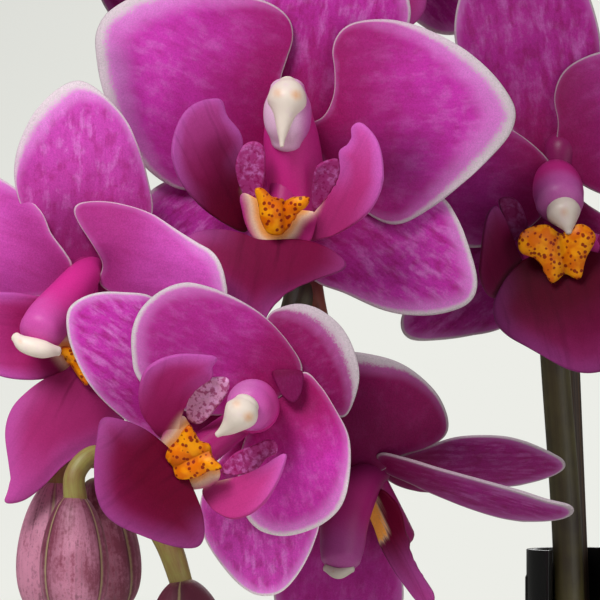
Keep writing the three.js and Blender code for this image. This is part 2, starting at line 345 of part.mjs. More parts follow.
function fuse(solids) {
  return solids.reduce((sum, piece) => sum.add(piece));
}

// One clean body: slivers left along the seams are closed up and loose scraps dropped

function whole(solid) {
  const bodies = solid.simplify(SEAM).decompose();
  return bodies.reduce((most, body) => (body.volume() > most.volume() ? body : most));
}

// A blade's mid surface: depth at a point (x, z) of the front view

function bladeDepth(blade, halfWidth) {
  const [bx, bz] = blade.base;
  const ex = blade.tip[0] - bx;
  const ez = blade.tip[1] - bz;
  const length = Math.hypot(ex, ez);
  const [start, rise, bend, lean, cup, twist] = blade.form;
  return (x, z) => {
    const s = ((x - bx) * ex + (z - bz) * ez) / (length * length);
    const t = ((z - bz) * ex - (x - bx) * ez) / (length * halfWidth);
    return start + rise * s + bend * s * s + lean * t + cup * t * t + twist * s * t;
  };
}

function bladeHalfWidth(blade) {
  const [bx, bz] = blade.base;
  const ex = blade.tip[0] - bx;
  const ez = blade.tip[1] - bz;
  const length = Math.hypot(ex, ez);
  return Math.max(...blade.edge.map(([x, z]) => Math.abs((z - bz) * ex - (x - bx) * ez) / length));
}

function runsClockwise(outline) {
  const area = outline.reduce((sum, p, i) => {
    const q = outline[(i + 1) % outline.length];
    return sum + p.x * q.z - q.x * p.z;
  }, 0);
  return area < 0;
}

// A closed thin solid: a fan and rings from the middle of the outline to its edge, on both faces

function bladeGeometry(blade, { sectors, thick, rings = [0.55, 1], grow = 0 }) {
  const curve = new THREE.CatmullRomCurve3(
    blade.edge.map(([x, z]) => new THREE.Vector3(x, 0, z)), true, "catmullrom", 0.5);
  const outline = curve.getSpacedPoints(sectors).slice(0, sectors);
  if (runsClockwise(outline)) outline.reverse();
  const middle = outline.reduce((sum, p) => sum.add(p), new THREE.Vector3()).divideScalar(sectors);
  const depth = bladeDepth(blade, bladeHalfWidth(blade));
  const points = [[middle.x, middle.z]];
  for (const ring of rings) {
    for (const p of outline) {
      const reach = ring + grow * ring / p.distanceTo(middle);
      points.push([middle.x + (p.x - middle.x) * reach, middle.z + (p.z - middle.z) * reach]);
    }
  }
  const half = thick / 2 + grow;
  const step = 0.05;
  const front = [];
  const back = [];
  for (const [x, z] of points) {
    const y = depth(x, z);
    const slopeX = (depth(x + step, z) - y) / step;
    const slopeZ = (depth(x, z + step) - y) / step;
    const normal = new THREE.Vector3(slopeX, -1, slopeZ).normalize().multiplyScalar(half);
    front.push(x + normal.x, y + normal.y, z + normal.z);
    back.push(x - normal.x, y - normal.y, z - normal.z);
  }
  const faces = [];
  const offset = points.length;
  const add = (a, b, c) => {
    faces.push(a, b, c);
    faces.push(offset + a, offset + c, offset + b);
  };
  for (let i = 0; i < sectors; i += 1) {
    const j = (i + 1) % sectors;
    add(0, 1 + i, 1 + j);
    for (let ring = 1; ring < rings.length; ring += 1) {
      const [inner, outer] = [1 + (ring - 1) * sectors, 1 + ring * sectors];
      add(inner + i, outer + i, outer + j);
      add(inner + i, outer + j, inner + j);
    }
    const rim = 1 + (rings.length - 1) * sectors;
    const [a, b] = [rim + i, rim + j];
    faces.push(a, offset + a, offset + b, a, offset + b, b);
  }
  const geometry = new THREE.BufferGeometry();
  geometry.setAttribute("position", new THREE.Float32BufferAttribute([...front, ...back], 3));
  geometry.setIndex(faces);
  return geometry;
}

function bladeSolid(blade, options, matrix) {
  return toSolid(bladeGeometry(blade, options), matrix);
}

// A round limb along a curve, with closed ends and its own radius at each point

function limbGeometry(points, { sides, steps, grow = 0 }) {
  const path = new THREE.CatmullRomCurve3(
    points.map(([x, y, z]) => new THREE.Vector3(x, y, z)), false, "catmullrom", 0.5);
  const geometry = new THREE.CylinderGeometry(1, 1, 1, sides, steps);
  const frames = [];
  let side = new THREE.Vector3(0.31, 0.87, 0.38);
  for (let i = 0; i <= steps; i += 1) {
    const tangent = path.getTangent(i / steps);
    side = side.clone().addScaledVector(tangent, -side.dot(tangent)).normalize();
    const at = (i / steps) * (points.length - 1);
    const low = Math.min(Math.floor(at), points.length - 2);
    const radius = THREE.MathUtils.lerp(points[low][3], points[low + 1][3], at - low) + grow;
    const centre = path.getPoint(i / steps);
    if (i === 0) centre.addScaledVector(tangent, -grow);
    if (i === steps) centre.addScaledVector(tangent, grow);
    frames.push({ centre, side, over: side.clone().cross(tangent), radius });
  }
  const place = geometry.attributes.position;
  for (let i = 0; i < place.count; i += 1) {
    const frame = frames[Math.round((place.getY(i) + 0.5) * steps)];
    const point = frame.centre.clone();
    point.addScaledVector(frame.side, place.getX(i) * frame.radius);
    point.addScaledVector(frame.over, place.getZ(i) * frame.radius);
    place.setXYZ(i, point.x, point.y, point.z);
  }
  return geometry;
}

function limb(points, options, matrix) {
  return toSolid(limbGeometry(points, options), matrix);
}

// Rounded limb: the ends close over a short shoulder instead of a flat cut

function rounded(points) {
  const first = points[0];
  const last = points[points.length - 1];
  const past = (end, next) => {
    const run = Math.hypot(end[0] - next[0], end[1] - next[1], end[2] - next[2]);
    const k = (end[3] * 0.62) / run;
    return [end[0] + (end[0] - next[0]) * k, end[1] + (end[1] - next[1]) * k,
      end[2] + (end[2] - next[2]) * k, end[3] * 0.45];
  };
  return [past(first, points[1]), ...points, past(last, points[points.length - 2])];
}

// Spike

const spikeShape = { sides: 6, steps: 40 };
const spike = limb(SPIKE, spikeShape);
const spikeRoom = limb(SPIKE, { ...spikeShape, grow: SPIKE_CUT });

// Blooms

const SECTORS = { petal: 14, sepal: 12, lip: 10, small: 7 };
const SECTORS_BEHIND = { petal: 11, sepal: 10, lip: 8, small: 6 };
const CALLUS_SECTORS = 11;
const HUB_RADIUS = 3.2;
const THROAT_RADIUS = 3.4;
const CLAW = { radius: 1.5, reach: 0.25 };

function bladeKind(name, { petal, sepal, lip, small }) {
  if (name.startsWith("petal")) return { sectors: petal, thick: BLADE_THICK };
  if (name.startsWith("dorsal") || name.startsWith("lateral")) return { sectors: sepal, thick: BLADE_THICK };
  if (name.startsWith("flap")) return { sectors: small, thick: LIP_THICK, rings: [1] };
  if (name.startsWith("side")) return { sectors: lip, thick: LIP_THICK, rings: [1] };
  return { sectors: lip, thick: LIP_THICK };
}

function bloomMatrix(bloom) {
  const turn = new THREE.Matrix4().makeRotationY(THREE.MathUtils.degToRad(bloom.roll ?? 0));
  return new THREE.Matrix4().makeTranslation(...bloom.at).multiply(turn);
}

// The throat is the ball between the side lobes of the lip that carries the callus

function throatCentre(blades) {
  const { base, tip, form } = blades.callus ?? blades.lip;
  return [THREE.MathUtils.lerp(base[0], tip[0], 0.4), form[0] + THROAT_RADIUS + CALLUS_THICK / 2 - GAP,
    THREE.MathUtils.lerp(base[1], tip[1], 0.4)];
}

// How far the foot of a blade stands from the middle of its bloom

function footGap(blade) {
  return Math.hypot(blade.base[0], blade.form[0], blade.base[1]);
}

// A short claw joins each lobe of the lip to the throat, and a lateral sepal whose foot stands
// clear of the hub to the hub

function claw(blade, target) {
  const middle = blade.edge.reduce(([x, z], p) => [x + p[0], z + p[1]], [0, 0])
    .map((sum) => sum / blade.edge.length);
  const x = THREE.MathUtils.lerp(blade.base[0], middle[0], CLAW.reach);
  const z = THREE.MathUtils.lerp(blade.base[1], middle[1], CLAW.reach);
  const y = bladeDepth(blade, bladeHalfWidth(blade))(x, z);
  return [[x, y, z, CLAW.radius * 0.6], [...target, CLAW.radius]];
}

function bloomPieces(bloom) {
  const matrix = bloomMatrix(bloom);
  const { callus, ...body } = bloom.blades;
  const sectors = bloom.behind ? SECTORS_BEHIND : SECTORS;
  const parts = Object.entries(body)
    .map(([name, blade]) => bladeSolid(blade, bladeKind(name, sectors), matrix));
  const throat = throatCentre(bloom.blades);
  for (const [name, blade] of Object.entries(body)) {
    if (/^(petal|dorsal)/.test(name)) continue;
    const sepal = name.startsWith("lateral");
    if (sepal && footGap(blade) < HUB_RADIUS) continue;
    const target = sepal ? [0, 0, 0] : throat;
    parts.push(limb(claw(blade, target), { sides: 4, steps: 1 }, matrix));
  }
  parts.push(toSolid(new THREE.SphereGeometry(HUB_RADIUS, 6, 4), matrix));
  parts.push(toSolid(new THREE.SphereGeometry(THROAT_RADIUS, 6, 4).translate(...throat), matrix));
  parts.push(limb([[0, 0, 0, CLAW.radius], [...throat, CLAW.radius]], { sides: 4, steps: 1 }, matrix));
  parts.push(limb(rounded(bloom.column), { sides: 7, steps: 4 }, matrix));
  parts.push(limb(bloom.stalk, { sides: 5, steps: 6 }));
  const capShape = { sides: 7, steps: 4 };
  const capRoom = limb(rounded(bloom.cap), { ...capShape, grow: GAP }, matrix);
  const pieces = { cap: limb(rounded(bloom.cap), capShape, matrix) };
  let flower = fuse(parts).subtract(capRoom).subtract(spikeRoom);
  if (callus) {
    const pad = { sectors: CALLUS_SECTORS, thick: CALLUS_THICK, rings: [1] };
    pieces.callus = bladeSolid(callus, pad, matrix).subtract(capRoom);
    flower = flower.subtract(bladeSolid(callus, { ...pad, grow: GAP }, matrix));
  }
  return { body: flower, ...pieces };
}

// Buds: a plump egg with three shallow seams, on its stalk

const BUD_SHAPE = { sides: 9, rings: 7, taper: 0.16, seam: 0.05, seams: 3 };

function budSolid(bud) {
  const { sides, rings, taper, seam, seams } = BUD_SHAPE;
  const [radius, halfLength] = bud.size;
  const egg = new THREE.SphereGeometry(1, sides, rings);
  const at = egg.attributes.position;
  for (let i = 0; i < at.count; i += 1) {
    const [x, y, z] = [at.getX(i), at.getY(i), at.getZ(i)];
    const furrow = seam * Math.max(0, Math.cos(seams * Math.atan2(z, x)));
    const plump = radius * (1 - taper * y) * (1 - furrow);
    at.setXYZ(i, x * plump, y * halfLength, z * plump);
  }
  egg.rotateX(Math.PI / 2);
  egg.rotateY(THREE.MathUtils.degToRad(bud.lean));
  egg.translate(...bud.at);
  return toSolid(egg).add(limb(bud.stalk, { sides: 5, steps: 7 })).subtract(spikeRoom);
}

// Leaves: thick straps with a keel, which rise from the stem and arch over

const LEAF_SHAPE = { steps: 8, strips: 4, clasp: 4.5, arch: 1.2, fold: 0.34, flatten: 0.2, thin: 0.35 };

function leafGeometry(leaf) {
  const { steps, strips, clasp, arch, fold, flatten, thin } = LEAF_SHAPE;
  const strap = new THREE.BoxGeometry(1, 1, 1, strips, 1, steps);
  const line = [];
  let [r, z] = [clasp, leaf.base];
  for (let i = 0; i <= steps; i += 1) {
    const slope = THREE.MathUtils.degToRad(leaf.rise - leaf.droop * (i / steps) ** arch);
    line.push({ r, z, slope });
    r += Math.cos(slope) * leaf.length / steps;
    z += Math.sin(slope) * leaf.length / steps;
  }
  const at = strap.attributes.position;
  for (let i = 0; i < at.count; i += 1) {
    const step = Math.round((at.getZ(i) + 0.5) * steps);
    const s = step / steps;
    const across = at.getX(i) * 2;
    const half = leaf.width / 2 * leafWidth(s);
    const lift = across * across * half * (fold - flatten * s);
    const skin = at.getY(i) * LEAF_THICK * (1 - thin * Math.abs(across));
    const { r: reach, z: height, slope } = line[step];
    const up = lift + skin;
    at.setXYZ(i, reach - Math.sin(slope) * up, across * half, height + Math.cos(slope) * up);
  }
  strap.rotateZ(THREE.MathUtils.degToRad(leaf.turn));
  return strap;
}

// Share of the full width along a leaf: a narrow clasping base, broad middle and rounded tip

function leafWidth(s) {
  const base = 0.42 + 0.58 * THREE.MathUtils.smoothstep(s, 0, 0.45);
  const tip = Math.sqrt(Math.max(0.012, 1 - Math.max(0, (s - 0.62) / 0.38) ** 2.4));
  return base * tip;
}

// Pots

function turned(profile, sides) {
  return toSolid(new THREE.LatheGeometry(profile.map(([r, z]) => new THREE.Vector2(r, z)), sides)
    .rotateX(Math.PI / 2));
}

function outerPot() {
  const { height, topRadius, baseRadius, wall, floor, sides } = POT;
  return turned([
    [0, 0], [baseRadius - 1.5, 0], [baseRadius, 1.5], [topRadius, height - 1.5],
    [topRadius - 1, height], [topRadius - wall + 0.8, height], [topRadius - wall, height - 1],
    [baseRadius - wall, floor + 1.5], [baseRadius - wall - 1.5, floor], [0, floor],
  ], sides);
}

function liner() {
  const { top, topRadius, baseRadius, wall, flange, rim, rimHeight, sides } = LINER;
  const bottom = POT.floor + GAP;
  const shell = turned([
    [0, bottom], [baseRadius, bottom], [topRadius - flange, top - rimHeight], [rim, top - rimHeight],
    [rim, top], [topRadius - flange - wall, top], [baseRadius - wall, bottom + wall], [0, bottom + wall],
  ], sides);
  const holes = Array.from({ length: DRAIN.count }, (_, i) => {
    const angle = (i + 0.5) * 2 * Math.PI / DRAIN.count;
    const hole = new THREE.CylinderGeometry(DRAIN.radius, DRAIN.radius, 4 * wall, 10).rotateX(Math.PI / 2);
    return toSolid(hole.translate(DRAIN.ring * Math.cos(angle), DRAIN.ring * Math.sin(angle), bottom));
  });
  return shell.subtract(fuse(holes));
}

// Bark: a packed core with loose chips bedded in its top

function random(seed) {
  let state = seed;
  return () => {
    state = (state * 16807) % 2147483647;
    return state / 2147483647;
  };
}

function barkSolid(buried) {
  const draw = random(BARK.seed);
  const floor = POT.floor + GAP + LINER.wall + GAP;
  const inner = (z) => THREE.MathUtils.mapLinear(z, floor - GAP, LINER.top,
    LINER.baseRadius, LINER.topRadius - LINER.flange) - LINER.wall - 1.2 * GAP;
  const core = turned([
    [0, floor], [inner(floor), floor], [inner(BARK.top), BARK.top], [0, BARK.top],
  ], LINER.sides);
  const chips = Array.from({ length: BARK.chips }, (_, i) => {
    const angle = i * 2.39996;
    const ring = BARK.ring * Math.sqrt((i + 0.5) / BARK.chips);
    const [w, d, h] = BARK.chip.map((size) => size * (0.7 + 0.5 * draw()));
    const chip = new THREE.BoxGeometry(w, d, h);
    chip.rotateX(0.5 * (draw() - 0.5)).rotateY(0.5 * (draw() - 0.5)).rotateZ(Math.PI * draw());
    return toSolid(chip.translate(ring * Math.cos(angle), ring * Math.sin(angle), BARK.top - 0.6));
  });
  return core.add(fuse(chips)).subtract(fuse(buried));
}

// Snap clip: a slotted C round spike and stake, with a comb grip to the right and a tongue to the left

function clipSolid() {
  const { centre, bottom, top, inside, wall, mouth, grip, thumb, slots, slot, pitch, rim } = CLIP;
  const [ax, ay] = inside;
  const shape = new THREE.Shape();
  shape.absellipse(0, 0, ax + wall, ay + wall, mouth, 2 * Math.PI - mouth, false, -Math.PI / 2);
  shape.absellipse(0, 0, ax, ay, 2 * Math.PI - mouth, mouth, true, -Math.PI / 2);
  const height = top - bottom;
  const ringOptions = { depth: height, bevelEnabled: false, curveSegments: 11 };
  const ring = new THREE.ExtrudeGeometry(shape, ringOptions).translate(centre[0], centre[1], bottom);
  const comb = new THREE.BoxGeometry(grip, wall, height)
    .translate(centre[0] + ax + wall / 2 + grip / 2, centre[1], (top + bottom) / 2);
  const flap = new THREE.Shape([
    [0, 0], [0, height], [-thumb.chamfer, height - thumb.chamfer],
    [-thumb.out, height - thumb.shoulder], [-thumb.out, 0],
  ].map(([x, y]) => new THREE.Vector2(x, y)));
  const tab = new THREE.ExtrudeGeometry(flap, { depth: wall, bevelEnabled: false }).rotateX(Math.PI / 2)
    .translate(centre[0] - ax - wall / 2, centre[1] + wall / 2, bottom);
  let clip = fuse([ring, comb, tab].map((piece) => toSolid(piece)));
  for (let i = 0; i < slots; i += 1) {
    const z = top - rim - i * pitch;
    const cut = new THREE.BoxGeometry(grip, 3 * wall, slot)
      .translate(centre[0] + ax + wall + grip / 2 + 1, centre[1], z);
    clip = clip.subtract(toSolid(cut));
  }
  return clip;
}

// Assembly

const stake = limb([[...STAKE.foot, STAKE.radius], [...STAKE.top, STAKE.radius]],
  { sides: STAKE.sides, steps: 1 });
const stakeRoom = limb([[...STAKE.foot, STAKE.radius], [...STAKE.top, STAKE.radius]],
  { sides: STAKE.sides, steps: 1, grow: GAP });
const stemParts = (grow) => [
  limb(STEM, { sides: 10, steps: 3, grow }),
  ...ROOTS.map((root) => limb(root, { sides: 5, steps: 5, grow })),
];
const stem = fuse(stemParts(0)).subtract(spikeRoom);
const stemRoom = limb(STEM, { sides: 10, steps: 3, grow: GAP });

const colours = {
  ceramic: [0xe9e7e1, 0.25], liner: [0x2b2d2c, 0.5], bark: [0x5a3b26, 0.95], root: [0x9aa58c, 0.8],
  leaf: [0x3f6b35, 0.45], spike: [0x4a4626, 0.5], stake: [0x2a2018, 0.6], clip: [0x0c0c0c, 0.2],
  petal: [0xb03a9a, 0.5], callus: [0xe0900f, 0.5], cap: [0xeee4da, 0.45], bud: [0x7c4262, 0.6],
};

function material(name) {
  const [color, roughness] = colours[name];
  return new THREE.MeshStandardMaterial({ color, roughness, metalness: 0 });
}

function piece(name, solid, look, at = [0, 0, 0]) {
  const geometry = toGeometry(whole(solid)).translate(-at[0], -at[1], -at[2]);
  const mesh = new THREE.Mesh(geometry, material(look));
  mesh.name = name;
  mesh.position.set(...at);
  return mesh;
}

function group(...members) {
  const set = new THREE.Group();
  set.add(...members);
  return set;
}

const pot = group(
  piece("outer_pot", outerPot(), "ceramic"),
  piece("nursery_pot", liner(), "liner"),
  piece("bark", barkSolid([...stemParts(GAP), stakeRoom]), "bark"),
);

const support = group(
  piece("stake", stake, "stake", STAKE.foot),
  piece("spike_clip", clipSolid(), "clip", [...CLIP.centre, CLIP.bottom]),
);

const plant = group(
  piece("stem_and_roots", stem, "root"),
  piece("flower_spike", spike, "spike", SPIKE[0].slice(0, 3)),
);
for (const leaf of LEAVES) {
  const solid = toSolid(leafGeometry(leaf)).subtract(stemRoom).subtract(spikeRoom);
  plant.add(piece(leaf.name, solid, "leaf", [0, 0, leaf.base]));
}
for (const [name, bud] of Object.entries(BUDS)) {
  plant.add(piece(name, budSolid(bud), "bud", bud.at));
}
for (const [name, bloom] of Object.entries(BLOOMS)) {
  const { body, cap, callus } = bloomPieces(bloom);
  plant.add(piece(name, body, "petal", bloom.at));
  plant.add(piece(`${name}_cap`, cap, "cap", bloom.at));
  if (callus) plant.add(piece(`${name}_callus`, callus, "callus", bloom.at));
}

const orchid = group(pot, support, plant);
orchid.name = "potted_moth_orchid";

export default orchid;
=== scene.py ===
"""Dresses a potted miniature moth orchid: an arching spike of purple blooms over strap leaves, in a
plain round pot. Everything is in metres. +Z is up, and the open blooms face the viewer, at -Y.
"""

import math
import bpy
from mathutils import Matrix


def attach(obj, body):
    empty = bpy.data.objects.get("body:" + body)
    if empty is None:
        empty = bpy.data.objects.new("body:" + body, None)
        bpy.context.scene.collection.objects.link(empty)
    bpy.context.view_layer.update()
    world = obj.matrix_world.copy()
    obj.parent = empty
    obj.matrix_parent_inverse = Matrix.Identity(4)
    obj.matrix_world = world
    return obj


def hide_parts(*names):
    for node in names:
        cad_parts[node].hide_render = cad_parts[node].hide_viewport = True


bl_info = {
    "name": "Potted moth orchid",
    "version": (1, 0, 0),
    "blender": (4, 5, 0),
    "location": "3D View > Sidebar > Orchid",
    "description": "Models the blooms, buds, spike, leaves and pot of a miniature moth orchid",
    "category": "Add Mesh",
}

from collections import namedtuple

import bpy
import numpy as np
from mathutils import Vector
from mathutils.noise import noise as smooth_noise

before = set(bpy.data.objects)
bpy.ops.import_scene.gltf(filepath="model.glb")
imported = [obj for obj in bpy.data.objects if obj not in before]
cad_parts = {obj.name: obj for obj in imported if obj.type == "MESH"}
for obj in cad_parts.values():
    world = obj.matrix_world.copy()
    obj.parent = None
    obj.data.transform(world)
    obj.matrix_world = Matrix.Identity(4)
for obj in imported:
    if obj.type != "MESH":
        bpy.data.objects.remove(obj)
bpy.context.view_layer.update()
bpy.ops.object.select_all(action="DESELECT")

MM = 0.001
FULL_TURN = 2 * math.pi

# Blades. Each is drawn as it is seen from the front: x to the right and z up, in millimetres from the
# middle of its bloom. base and tip are the ends of its midline, and edge is its outline. form lists how
# its depth runs, away from the viewer: start, rise and bend along the midline, lean and cup across it,
# and twist.

Blade = namedtuple("Blade", ["base", "tip", "form", "edge"])

BLADES_A = {
    "petal_left": Blade([-0.7, 0.4], [-28, 12], [0.3, -6, 7.5, 0, 2, 0], [
        [-0.7, -0.1], [-1.4, 5.9], [-0.6, 9.1], [0.4, 12.6], [-0.3, 15.8], [-4.1, 18.3], [-12.3, 19.9],
        [-20.3, 19.6], [-26.1, 17], [-28.3, 13.8], [-28.3, 10.1], [-27.4, 5.4], [-25.4, 0.1],
        [-22.6, -4.5], [-18.8, -8.1], [-14.5, -9.6], [-8.4, -8], [-3.8, -3.6]]),
    "petal_right": Blade([2.9, 0], [32.9, 1.9], [0.3, -6, 7.5, 0, 2, 0], [
        [1.4, -0.4], [4.6, 1], [6.2, 4.1], [6.4, 7.7], [6.1, 11.2], [7.4, 13.9], [10.1, 15.2],
        [14.8, 15.4], [19.6, 14.1], [24.4, 11.6], [28.7, 8.3], [31.6, 4.8], [32.9, 1.9], [32, -1.3],
        [29, -4.8], [24.9, -8.6], [20.6, -12], [15.7, -14.5], [11.6, -13.2], [8, -9.4], [3.6, -4.3]]),
    "dorsal": Blade([1.4, -0.4], [7.2, 32], [2.4, -2, 3, 0, 1.5, 0], [
        [0.3, -0.7], [-2.6, 5.8], [-4.3, 13], [-3.9, 21], [-0.7, 28.3], [5.1, 32.3], [10.9, 30.9],
        [15.2, 25.4], [17.3, 18.8], [17.4, 14.9], [14.8, 8.7], [9, 2.9], [4.6, -0.7]]),
    "lateral_left": Blade([-1.2, -4.3], [-20.3, -21.8], [2.6, -1, 2, 0, 1, 0], [
        [-0.7, -3.6], [-6.5, -5.1], [-14.5, -6.8], [-20, -9.1], [-22.9, -13], [-23.2, -18.1],
        [-20.6, -22.5], [-15.2, -24.2], [-9.4, -21.3], [-4.1, -14.5], [0, -8]]),
    "lateral_right": Blade([0.7, -5.8], [26.7, -24.2], [2.6, -1.5, 2.5, 0, 1, 0], [
        [0, -3.6], [7.2, -5.8], [15.9, -7.7], [21.8, -10.1], [24.1, -12.9], [26, -17.4], [27.3, -22.2],
        [26.8, -25.1], [24.4, -26.8], [19.6, -27.7], [13.8, -27], [8, -24.5], [2.9, -22.2], [-0.7, -15.9],
        [-1.4, -8.7]]),
    "side_left": Blade([-6.4, -13.5], [-13.8, 2.9], [-4, -9, 2, -2.5, -1.5, 0], [
        [-6.4, -15.7], [-10.9, -13.5], [-13.9, -10.9], [-15.9, -8], [-16.8, -4.5], [-16.4, -1.3],
        [-15.1, 1.4], [-12.9, 3], [-9.9, 3.3], [-9, 1], [-7.1, -1.4], [-6.8, -3.6], [-7.8, -6.2],
        [-7.2, -9.4], [-6.1, -12]]),
    "side_right": Blade([2.6, -15.2], [10.1, -0.1], [-4, -9, 2, 2.5, -1.5, 0], [
        [2.3, -16.7], [3.2, -13.3], [4.9, -11.3], [6.8, -9.1], [7.4, -6.8], [7, -4.1], [8.7, -2.8],
        [8.8, -0.7], [9.9, 0], [11.3, -1], [12.6, -3], [13.2, -6.2], [12.9, -9.7], [11.3, -12.8],
        [8.7, -14.9], [5.5, -16.4]]),
    "flap_left": Blade([-5.8, -11.6], [-5.8, -2.6], [-4.4, -3, 0, 0, -0.5, 0], [
        [-6.8, -3.3], [-5.4, -2.6], [-3.9, -3.3], [-3.6, -6.2], [-4.1, -9.7], [-4.9, -11.7], [-6.4, -10.9],
        [-7.7, -8], [-7.8, -5.4]]),
    "flap_right": Blade([3.6, -12.4], [6, -5.4], [-4.4, -3, 0, 0, -0.5, 0], [
        [3.4, -12.9], [3.1, -10.7], [3.2, -8.4], [3.7, -6.4], [5.1, -5.4], [6.9, -5.2], [7.2, -7.3],
        [6.5, -9], [4.8, -11.2]]),
    "midlobe": Blade([-1.2, -16.1], [-4.1, -29.1], [-6, -6, 3, 0, 1.2, 0], [
        [-6.8, -15.9], [-4.1, -16.8], [1.4, -16.7], [5.1, -17.8], [8, -19.9], [7.5, -21.2], [3.6, -22.6],
        [-0.3, -24.2], [-2.6, -26.2], [-4.1, -29.1], [-6.4, -27.4], [-9, -24.8], [-12.6, -22.5],
        [-15.1, -19], [-14.5, -16.1], [-10.9, -15.2]]),
    "callus": Blade([-1, -16.1], [-1, -9.4], [-7.6, -1.2, 0, 0, -0.6, 0], [
        [-5.1, -9.6], [-3.9, -9.4], [-2.5, -10.7], [-1, -11.3], [0.3, -10.7], [2.8, -10.7], [2.2, -12.2],
        [0.9, -13], [-0.3, -15.2], [-1.7, -16.1], [-3.3, -15.7], [-4.3, -13.8], [-4.6, -11.7]]),
    "cup": Blade([-1.6, -16.8], [-1.6, -11], [-5.2, 0.4, 0, 0, -0.4, 0], [
        [-7.2, -9.8], [-7, -12.5], [-6.2, -15.2], [-4.6, -17.2], [-1.5, -18.4], [1.5, -18.2], [3, -16.8],
        [3.7, -14.6], [3.8, -12.8], [0, -12.3], [-3.9, -11.2]]),
}
BLADES_B = {
    "dorsal": Blade([-1.3, 1.1], [-1.4, 27.2], [1, -3, 1, 0, 1.5, 0], [
        [-1.9, 0.3], [-5.3, 3.4], [-8.4, 7.4], [-10, 11.5], [-10.2, 15.2], [-9.2, 18.9], [-7.2, 22.6],
        [-4.4, 25.6], [-1.4, 27.2], [1, 26.5], [3.4, 24.5], [5.9, 21.5], [7.7, 17.6], [9, 13.2],
        [9.7, 8.3], [7.6, 4.3], [3.3, 0.7]]),
    "petal_left": Blade([-2.1, 0.9], [-24.2, 7.9], [-0.6, 4, 1, -1, 1.5, 0], [
        [-1.6, 0.3], [-2.7, 2.6], [-4.7, 5.2], [-5.9, 7.9], [-8.4, 10.6], [-12.2, 13.2], [-16.5, 15.3],
        [-21.1, 15.3], [-23.9, 12.2], [-24.5, 7.9], [-23.1, 2.9], [-19.3, -1.4], [-14.3, -3.7],
        [-7.9, -3.9], [-3.3, -2.9]]),
    "petal_right": Blade([2.4, -0.3], [20.2, -2.1], [-0.6, -6, -0.5, -1, 1.2, 0], [
        [2.1, -2.1], [2.6, 0.7], [1.4, 3.2], [-0.4, 6], [-1.6, 8.3], [-0.9, 9.6], [2.6, 9.9], [6.4, 9.2],
        [9.9, 7.9], [13, 5.9], [16.2, 3.9], [18.3, 2.7], [19.6, 0.9], [20.3, -1.7], [20.2, -4.3],
        [16.5, -6.3], [11.5, -6], [6.2, -4.3]]),
    "lateral_right": Blade([1, -2.3], [13.3, -16.3], [1.4, 2, 1, 0, 1, 0], [
        [-0.1, -1.4], [3.6, -0.9], [8.6, -3.7], [12.7, -8.9], [13.9, -14.6], [10.7, -17.5], [6.2, -16],
        [2.1, -11.5], [0, -6.4]]),
    "lateral_left": Blade([-3, -3.2], [-20.8, -14.6], [1.4, 4, 1, 0, 1, 0], [
        [-1.6, -2.1], [-6.4, -3.2], [-12.2, -4.6], [-17.6, -7.4], [-21.1, -11.5], [-21.1, -15.5],
        [-17.9, -16.9], [-13.3, -13.7], [-8.7, -10.7], [-3.9, -7.9]]),
    "side_left": Blade([-0.7, -9.3], [-16.5, -8.6], [-5, -3, 2, 0, -1.5, 0], [
        [-1.9, -4.3], [-6.4, -3.7], [-9.9, -3.2], [-13, -3.4], [-15.6, -5.4], [-16.8, -9.3],
        [-15.3, -12.9], [-12.2, -14.9], [-9, -15.6], [-5.3, -15.5], [-2.1, -14.3], [-0.1, -11.7],
        [-0.1, -7.4]]),
    "midlobe": Blade([0.7, -12.6], [-10.7, -32.7], [-6.5, -6, 2, 0, 1.2, 0], [
        [-0.1, -11.7], [-2.1, -14], [-5.4, -15.5], [-7.9, -17.3], [-10, -19.6], [-10.9, -22.9],
        [-10.3, -27.5], [-10, -30.6], [-11, -32.9], [-8.3, -32.7], [-5.4, -30.6], [-3.3, -28.2],
        [-1, -26.4], [1.9, -24.9], [5.3, -22.6], [6.2, -18.3], [3.9, -14]]),
    "callus": Blade([1, -14.6], [-3, -11.5], [-8.5, -1, 0, 0, -0.5, 0], [
        [-3, -11.2], [-1.7, -11], [-0.3, -12.2], [1.1, -14.6], [0.7, -16.4], [-0.5, -15], [-1.7, -13]]),
}
